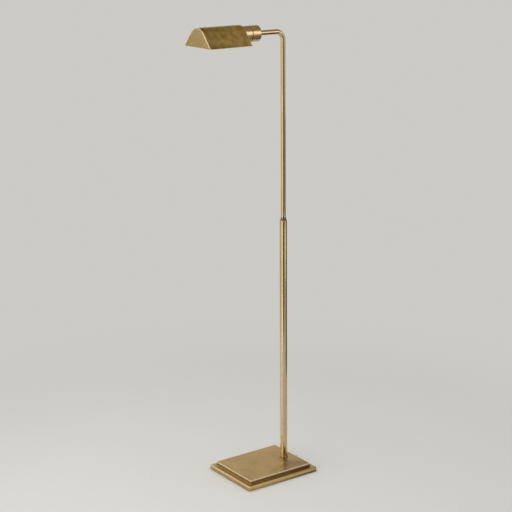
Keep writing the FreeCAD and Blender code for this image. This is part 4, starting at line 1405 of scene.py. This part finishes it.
@dataclass
class Head(SubAssembly):
    """Front half of the cup with the lampholder and the bulb."""

    body: ClassVar[str] = "head"
    cup_rounds: Sizes = mm(0.15, 0.12, 0.2, 0.3, 0.2, 0.2, 0.5, 0.5, 0.15)
    bore_r: float = 14.3 * MM
    bore_depth: float = 28.0 * MM
    holder_rounds: Sizes = mm(1.0, 1.3, 1.0, 0.6)
    thread_pitch: float = 3.6 * MM
    thread_depth: float = 0.45 * MM
    shell_wall: float = 0.5 * MM
    shell_run: Pair = (0.02, 0.98)
    shell_rows: int = 140
    shell_lip: Pair = (0.15, 0.2)
    cap_wall: float = 0.6 * MM
    cap_rounds: Sizes = mm(0.8, 0.3, 1.0)
    cap_rows: int = 120
    cap_mouth: float = 0.2 * MM
    cap_lip: float = 0.1 * MM
    tip_r: float = 5.0 * MM
    tip_height: float = 2.0 * MM
    thread_from: float = 1.2 * MM
    thread_end: float = 3.0 * MM
    glass_wall: float = 0.8 * MM
    glass_rounds: Sizes = mm(7.0, 9.0)
    glass_steps: int = 10
    dome_rows: int = 25
    neck_r: float = 12.35 * MM
    neck_in: float = 5.0 * MM
    shoulder: float = 12.0 * MM

    def thread(self, first: float, last: float) -> Relief:
        """Rolled thread: the radius waves once each pitch and once each turn, fading out at both ends.

        Args:
            first: Height where it starts.
            last: Height where it ends.

        Returns:
            The relief.
        """
        def wave(radius: np.ndarray, height: np.ndarray, angle: np.ndarray) -> np.ndarray:
            """Relief at a height and angle, the same at any radius."""
            fade = np.clip(np.minimum(height - first, last - height) / self.thread_pitch, 0, 1)
            return self.thread_depth * fade * (np.cos(2 * np.pi * height / self.thread_pitch - angle) - 1) / 2
        return wave

    def cup(self) -> None:
        """Builds the front half of the cup."""
        outer, length = Extent.of("front_cup").turned_size(Way.TO_TIP)
        inner, floor = outer - CUP_WALL, length - CUP_WALL
        profile = eased([(AXLE_HOLE_R, 0.0), (outer - SEAM_BEVEL, 0.0), (outer, SEAM_BEVEL),
                         (outer, length), (CUP_MOUTH_R, length), (CUP_MOUTH_R, floor), (inner, floor),
                         (inner, CUP_WALL), (AXLE_HOLE_R, CUP_WALL)], self.cup_rounds, closed=True)
        self.spin("front_cup", profile, Way.TO_TIP, self.palette.cup, kept=seam_patina(profile))

    def holder(self) -> None:
        """Builds the ceramic body and its threaded shell."""
        radius, length = Extent.of("socket_body").turned_size(Way.TO_TIP)
        floor = length - self.bore_depth
        profile = eased([(0.0, 0.0), (radius, 0.0), (radius, length), (self.bore_r, length),
                         (self.bore_r, floor), (0.0, floor)], self.holder_rounds)
        self.spin("socket_body", profile, Way.TO_TIP, self.palette.porcelain, "porcelain", closed=False)
        outer, length = Extent.of("socket_shell").turned_size(Way.TO_TIP)
        self.spin("socket_shell", self.sleeve(outer, length), Way.TO_TIP, self.palette.plain, "plain_brass",
                  relief=self.thread(0.0, length))

    def sleeve(self, outer: float, length: float) -> np.ndarray:
        """Profile of the threaded shell: a thin wall with bevelled lips.

        Args:
            outer: Outer radius.
            length: Length.

        Returns:
            Radius and height of each point of the closed loop.
        """
        inset, lip = (share * self.shell_wall for share in self.shell_lip)
        run = np.linspace(*self.shell_run, self.shell_rows) * length
        outside = np.concatenate([[(outer - inset, 0.0), (outer, lip)], wall_line(outer, run),
                                  [(outer, length - lip), (outer - inset, length)]])
        inside = outside[::-1].copy()
        inside[:, 0] -= self.shell_wall - 2 * (outer - inside[:, 0])
        return np.concatenate([outside, inside])

    def cap(self) -> None:
        """Builds the bulb's threaded cap."""
        outer, length = Extent.of("bulb_cap").turned_size(Way.TO_TIP)
        inner = outer - self.cap_wall
        floor = self.tip_height + self.cap_wall
        shoulder = self.tip_height + (outer - self.tip_r) / 2
        outside = eased([(0.0, 0.0), (self.tip_r, 0.0), (self.tip_r, self.tip_height), (outer, shoulder),
                         (outer, length)], self.cap_rounds)[:-1]
        run = np.linspace(shoulder + self.thread_from, length - self.cap_mouth, self.cap_rows)
        profile = np.concatenate([outside, wall_line(outer, run),
                                  [(outer - self.cap_lip, length), (inner + self.cap_lip, length)],
                                  wall_line(inner, run[::-1]), [(self.tip_r, floor), (0.0, floor)]])
        self.spin("bulb_cap", profile, Way.TO_TIP, self.palette.cap, "bulb_metal", closed=False,
                  relief=self.thread(shoulder + self.thread_from, length - self.thread_end))

    def glass(self) -> None:
        """Builds the bulb's glass: neck, shoulder, straight tube and half-round end, with a wall."""
        radius, length = Extent.of("bulb_glass").turned_size(Way.TO_TIP)
        inside, outside = (self.glass_line(radius - inset, self.neck_r - inset, length - inset)
                           for inset in (self.glass_wall, 0.0))
        self.spin("bulb_glass", np.concatenate([inside[::-1], outside]), Way.TO_TIP, self.palette.glass,
                  "bulb_glass", closed=False)

    def glass_line(self, radius: float, neck: float, tip: float) -> np.ndarray:
        """Line of one wall of the glass from the neck's mouth to the tip.

        Args:
            radius: Radius of the straight tube.
            neck: Radius of the neck.
            tip: Height of the tip.

        Returns:
            Radius and height of each point.
        """
        angle = np.linspace(0, QUARTER, self.dome_rows)
        dome = np.stack([radius * np.cos(angle), tip - radius * (1 - np.sin(angle))], axis=1)
        body = eased([(neck, 0.0), (neck, self.neck_in), (radius, self.neck_in + self.shoulder),
                      (radius, tip - radius)], self.glass_rounds, steps=self.glass_steps)
        return np.concatenate([body[:-1], dome])

    def build(self) -> None:
        """Builds the sub-assembly."""
        self.cup()
        self.holder()
        self.cap()
        self.glass()
        self.dress(self.palette.steel, "socket_bracket", "bracket_screws")
        self.dress(self.palette.plain, "centre_contact")
        self.dress(self.palette.small, "switch_bush")


@dataclass
class Switch(SubAssembly):
    """Rotary switch's shaft and its small fluted knob."""

    body: ClassVar[str] = "knob"
    flutes: int = 12
    flute_depth: float = 0.7 * MM
    flute_fade: float = 1.6 * MM
    flute_from: float = 0.8
    flute_full: float = 0.95
    flute_rows: int = 12
    flute_inset: float = 1.2 * MM
    face_depth: float = 1.1 * MM
    face_rounds: Sizes = mm(0.2, 0.2, 0.6)
    end_round: float = 0.7 * MM
    hole_r: float = 2.05 * MM
    hole_depth: float = 9.3 * MM
    segments: int = 144

    def flute(self, reach: np.ndarray, height: np.ndarray, angle: np.ndarray) -> np.ndarray:
        """Rounded grooves round the rim, each a squared raised cosine, which fade out before both ends.

        Args:
            reach: Radius of each point.
            height: Height of each point.
            angle: Angle of each point.

        Returns:
            What the grooves add to the radius.
        """
        radius, length = Extent.of("switch_knob").turned_size(Way.TO_FAR_SIDE)
        rim = np.clip((reach / radius - self.flute_from) / (self.flute_full - self.flute_from), 0, 1)
        fade = np.clip(np.minimum(height, length - height) / self.flute_fade, 0, 1)
        return -self.flute_depth * rim * fade * (0.5 - 0.5 * np.cos(self.flutes * angle)) ** 2

    def build(self) -> None:
        """Builds the sub-assembly."""
        radius, length = Extent.of("switch_knob").turned_size(Way.TO_FAR_SIDE)
        start_face = eased([(0.0, self.hole_depth), (self.hole_r, self.hole_depth), (self.hole_r, 0.0),
                            (radius, 0.0), (radius, self.face_depth)], self.face_rounds)[:-1]
        run = np.linspace(self.flute_inset, length - self.flute_inset, self.flute_rows)
        end_face = eased([(radius, length - self.face_depth), (radius, length), (0.0, length)],
                         self.end_round)[1:]
        profile = np.concatenate([start_face, wall_line(radius, run), end_face])
        self.spin("switch_knob", profile, Way.TO_FAR_SIDE, self.palette.turned, closed=False,
                  segments=self.segments, relief=self.flute)
        self.dress(self.palette.steel, "switch_shaft")


class Seen(Enum):
    """What takes notice of a lamp, which the camera never sees."""

    ALL = "reflections and lighting"
    REFLECTED = "reflections alone"
    LIGHTING = "lighting alone"


@dataclass(frozen=True)
class SoftBox:
    """Soft rectangular lamp near the column, which faces it or faces down.

    Azimuth 0 is towards -Y and 90 towards +X. The distance is from the column, and the height is that of the
    lamp's middle. Its power is its radiance times pi times its area.
    """

    name: str
    azimuth: float
    distance: float
    size: Pair
    height: float
    radiance: float
    seen: Seen = Seen.REFLECTED
    faces_down: bool = False


@dataclass(frozen=True)
class Card:
    """Upright glowing card beside the column, which only reflections see, placed as a lamp is."""

    name: str
    azimuth: float
    distance: float
    width: float
    foot: float
    top: float
    glow: Colour


@dataclass(frozen=True)
class Studio:
    """Pale floor, soft lamps, cards that only reflections see, and the camera."""

    wall: Colour = (0.604, 0.597, 0.567)
    ceiling: Colour = (0.48, 0.475, 0.455)
    floor: Colour = (0.80, 0.795, 0.775)
    daylight: Colour = (1.0, 0.985, 0.96)
    dusk: Colour = (0.315, 0.264, 0.165)
    haze: Colour = (0.37, 0.34, 0.27)
    mist: Colour = (0.52, 0.475, 0.38)
    gloom: Colour = (0.100, 0.070, 0.040)
    horizon_at: float = 0.35
    overhead_at: float = 0.72
    floor_reach: float = 60.0
    floor_roughness: float = 0.9
    floor_gloss: float = 0.1
    grain: float = 3.0
    grain_range: Pair = (0.3, 0.7)
    grain_tone: float = 0.99
    paper_end: Pair = (0.6, 1.7)
    shade_view: Pair = (91.0, 50.0)
    shade_card_reach: float = 0.9
    shade_card_size: Pair = (1.55, 1.1)
    camera_place: Triple = (-2.529, -3.539, 1.919)
    camera_azimuth: float = -36.56
    camera_drop: float = 15.05
    camera_roll: float = -0.07
    camera_reach: float = 200.0
    sensor: float = 36.0
    lens: float = 97.6
    shift_x: float = -0.0580
    cards: ClassVar[tuple[Card, ...]] = (
        Card("camera_side_card", -36.5, 1.2, 0.72, 0.06, 1.9, gloom),
        Card("front_dim_card", -7.5, 1.3, 0.76, 0.12, 1.3, haze),
        Card("front_high_card", 23.5, 1.3, 0.72, 0.56, 1.2, mist),
        Card("right_low_card", 52.5, 1.0, 0.34, 0.0, 0.62, gloom),
        Card("right_mid_card", 46.0, 1.0, 0.58, 0.62, 0.98, gloom),
        Card("right_high_card", 46.0, 1.0, 0.58, 0.98, 1.15, dusk),
        Card("right_near_card", 72.0, 0.9, 0.95, 0.0, 1.05, gloom),
    )
    lamps: ClassVar[tuple[SoftBox, ...]] = (
        SoftBox("key", -88.0, 1.9, (2.4, 2.4), 1.2, 0.70, Seen.LIGHTING),
        SoftBox("stripe_light", -71.0, 1.3, (0.9, 2.1), 1.05, 0.76),
        SoftBox("side_light", -105.5, 1.3, (0.72, 2.1), 1.05, 0.30),
        SoftBox("low_light", 25.5, 1.6, (1.0, 0.25), 0.335, 0.7),
        SoftBox("head_light", 40.0, 2.2, (1.2, 2.12), 2.44, 1.1, Seen.ALL),
        SoftBox("rim_light", -88.0, 1.5, (1.2, 1.2), 2.7, 1.2),
        SoftBox("bevel_light", -161.0, 2.4, (1.6, 1.6), 2.0, 0.6),
        SoftBox("roll_light", -49.6, 0.51, (0.55, 0.55), 2.175, 1.3, faces_down=True),
        SoftBox("ceiling_bank", -80.0, 0.9, (2.2, 2.2), 2.9, 1.42, Seen.LIGHTING, True),
    )

    def heading(self, azimuth: float) -> tuple[np.ndarray, np.ndarray]:
        """Level directions at an azimuth.

        Args:
            azimuth: Degrees from -Y towards +X.

        Returns:
            The unit vectors outwards and across.
        """
        angle = math.radians(azimuth)
        sine, cosine = math.sin(angle), math.cos(angle)
        return np.array([sine, -cosine, 0.0]), np.array([cosine, sine, 0.0])

    def beside_column(self, azimuth: float, distance: float, height: float) -> np.ndarray:
        """Place at an azimuth and a distance from the column, at some height."""
        column = Extent.of("column_tube").middle * (1, 1, 0)
        return column + self.heading(azimuth)[0] * distance + (0.0, 0.0, height)

    def stage_quad(self, name: str, corners: Sequence[Sequence[float]], bench: Bench) -> bpy.types.Object:
        """Adds a flat four-cornered piece of the studio, which isn't sampled as a lamp.

        Args:
            name: Name of the piece.
            corners: Its four corners in order.
            bench: Bench of its finished material.

        Returns:
            The new object.
        """
        mesh = bpy.data.meshes.new(name)
        mesh.from_pydata([tuple(corner) for corner in corners], [], [(0, 1, 2, 3)])
        bench.material.cycles.emission_sampling = "NONE"
        mesh.materials.append(bench.material)
        made = linked(name, mesh)
        return made

    def stage_floor(self) -> None:
        """Lays the floor: lit near the lamp, and the wall's plain colour far off, where no edge may show."""
        bench = Bench("studio_paper")
        grain = bench.remap(bench.noise(self.grain), self.grain_range)
        tone = bench.blend(grain, self.floor, tuple(part * self.grain_tone for part in self.floor))
        bench.set(Base_Color=tone, Roughness=self.floor_roughness, Specular_IOR_Level=self.floor_gloss)
        far = bench.node("ShaderNodeEmission", {"Color": (*self.wall, 1.0), "Strength": 1.0}).outputs[0]
        flat = bench.node("ShaderNodeTexCoord", {}).outputs["Object"]
        distance = bench.node("ShaderNodeVectorMath", {0: flat}, operation="LENGTH").outputs["Value"]
        ray = bench.node("ShaderNodeLightPath", {}).outputs
        seen = bench.reckon("MAXIMUM", ray["Is Camera Ray"], ray["Is Glossy Ray"])
        seen = bench.reckon("MAXIMUM", seen, ray["Is Transmission Ray"])
        share = bench.reckon("MULTIPLY", bench.remap(distance, self.paper_end), seen)
        mix = bench.node("ShaderNodeMixShader", {0: share, 1: bench.shader.outputs[0], 2: far}).outputs[0]
        bench.feed(bench.output.inputs["Surface"], mix)
        corners = np.array([(-1, -1, 0), (1, -1, 0), (1, 1, 0), (-1, 1, 0)]) * self.floor_reach
        self.stage_quad("studio_floor", corners, bench)

    def world(self) -> None:
        """Fills the room with soft light: pale at the horizon, darker overhead."""
        world = bpy.data.worlds.new("studio_air")
        bpy.context.scene.world = world
        world.use_nodes = True
        tree = world.node_tree
        tree.nodes.clear()
        kinds = ("TexCoord", "SeparateXYZ", "ValToRGB", "Background", "OutputWorld")
        place, parts, ramp, glow, output = (tree.nodes.new("ShaderNode" + kind) for kind in kinds)
        tree.links.new(place.outputs["Generated"], parts.inputs[0])
        tree.links.new(parts.outputs["Z"], ramp.inputs["Fac"])
        tree.links.new(ramp.outputs["Color"], glow.inputs["Color"])
        tree.links.new(glow.outputs[0], output.inputs["Surface"])
        stops = ramp.color_ramp.elements
        stops[0].position, stops[1].position = self.horizon_at, self.overhead_at
        stops[0].color, stops[1].color = (*self.wall, 1.0), (*self.ceiling, 1.0)

    def card(self, name: str, foot: np.ndarray, across: np.ndarray, up: np.ndarray, glow: Colour) -> None:
        """Adds a flat card that only reflections see.

        Args:
            name: Name of the card.
            foot: Middle of its lower edge.
            across: Vector along its width.
            up: Vector from its lower to its upper edge.
            glow: Light of its face.
        """
        bench = Bench(name + "_face")
        bench.set(Base_Color=(0.0, 0.0, 0.0, 1.0), Roughness=1.0, Specular_IOR_Level=0.0,
                  Emission_Color=(*glow, 1.0), Emission_Strength=1.0)
        near, far = foot - across / 2, foot + across / 2
        made = self.stage_quad(name, (near, far, far + up, near + up), bench)
        made.visible_camera = made.visible_diffuse = made.visible_transmission = made.visible_shadow = False

    def shade_card(self) -> None:
        """Hangs a dim card where the near side of the shade looks, square to that direction."""
        out, across = self.heading(self.shade_view[0])
        rise = math.radians(self.shade_view[1])
        overhead = np.array(Way.UP.value)
        towards = out * math.cos(rise) + overhead * math.sin(rise)
        up = overhead * math.cos(rise) - out * math.sin(rise)
        middle = Extent.of("shade_cover").middle + towards * self.shade_card_reach
        width, height = self.shade_card_size
        self.card("shade_card", middle - up * height / 2, across * width, up * height, self.dusk)

    def standing_card(self, card: Card) -> None:
        """Stands a card beside the column.

        Args:
            card: The card.
        """
        foot = self.beside_column(card.azimuth, card.distance, card.foot)
        across = self.heading(card.azimuth)[1] * card.width
        self.card(card.name, foot, across, np.array([0.0, 0.0, card.top - card.foot]), card.glow)

    def soft_box(self, box: SoftBox) -> None:
        """Adds a soft lamp.

        Args:
            box: The lamp.
        """
        lamp = bpy.data.lights.new(box.name, "AREA")
        lamp.shape = "RECTANGLE"
        lamp.size, lamp.size_y = box.size
        lamp.energy = box.radiance * math.pi * box.size[0] * box.size[1]
        lamp.color = self.daylight
        made = linked(box.name, lamp)
        made.location = self.beside_column(box.azimuth, box.distance, box.height)
        if not box.faces_down:
            inwards = Vector(-self.heading(box.azimuth)[0])
            made.rotation_euler = inwards.to_track_quat("-Z", "Y").to_euler()
        made.visible_camera = False
        made.visible_diffuse = box.seen is not Seen.REFLECTED
        made.visible_glossy = box.seen is not Seen.LIGHTING

    def camera(self) -> None:
        """Places the camera."""
        data = bpy.data.cameras.new("camera")
        data.lens = self.lens
        data.sensor_width = self.sensor
        data.shift_x = self.shift_x
        data.clip_end = self.camera_reach
        made = linked("camera", data)
        drop = math.radians(self.camera_drop)
        level = self.heading(self.camera_azimuth)[0] * math.cos(drop)
        back = Vector(level + (0.0, 0.0, math.sin(drop)))
        made.location = self.camera_place
        roll = Matrix.Rotation(math.radians(self.camera_roll), 3, back)
        made.rotation_euler = (roll @ (-back).to_track_quat("-Z", "Y").to_matrix()).to_euler()
        bpy.context.scene.camera = made

    def build(self) -> None:
        """Builds the studio."""
        self.stage_floor()
        self.world()
        self.shade_card()
        for card in self.cards:
            self.standing_card(card)
        for box in self.lamps:
            self.soft_box(box)
        self.camera()


def main() -> None:
    """Builds the lamp and the studio in order."""
    logging.basicConfig(level=logging.INFO, format="%(name)s: %(message)s")
    bpy.context.scene.view_settings.view_transform = "Standard"
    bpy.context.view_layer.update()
    palette = Palette()
    for kind in (Base, Column, Slider, Mast, Shade, Head, Switch):
        kind(palette).build()
        LOG.info("%s is done", kind.__name__)
    Studio().build()


if __name__ == "__main__":
    main()
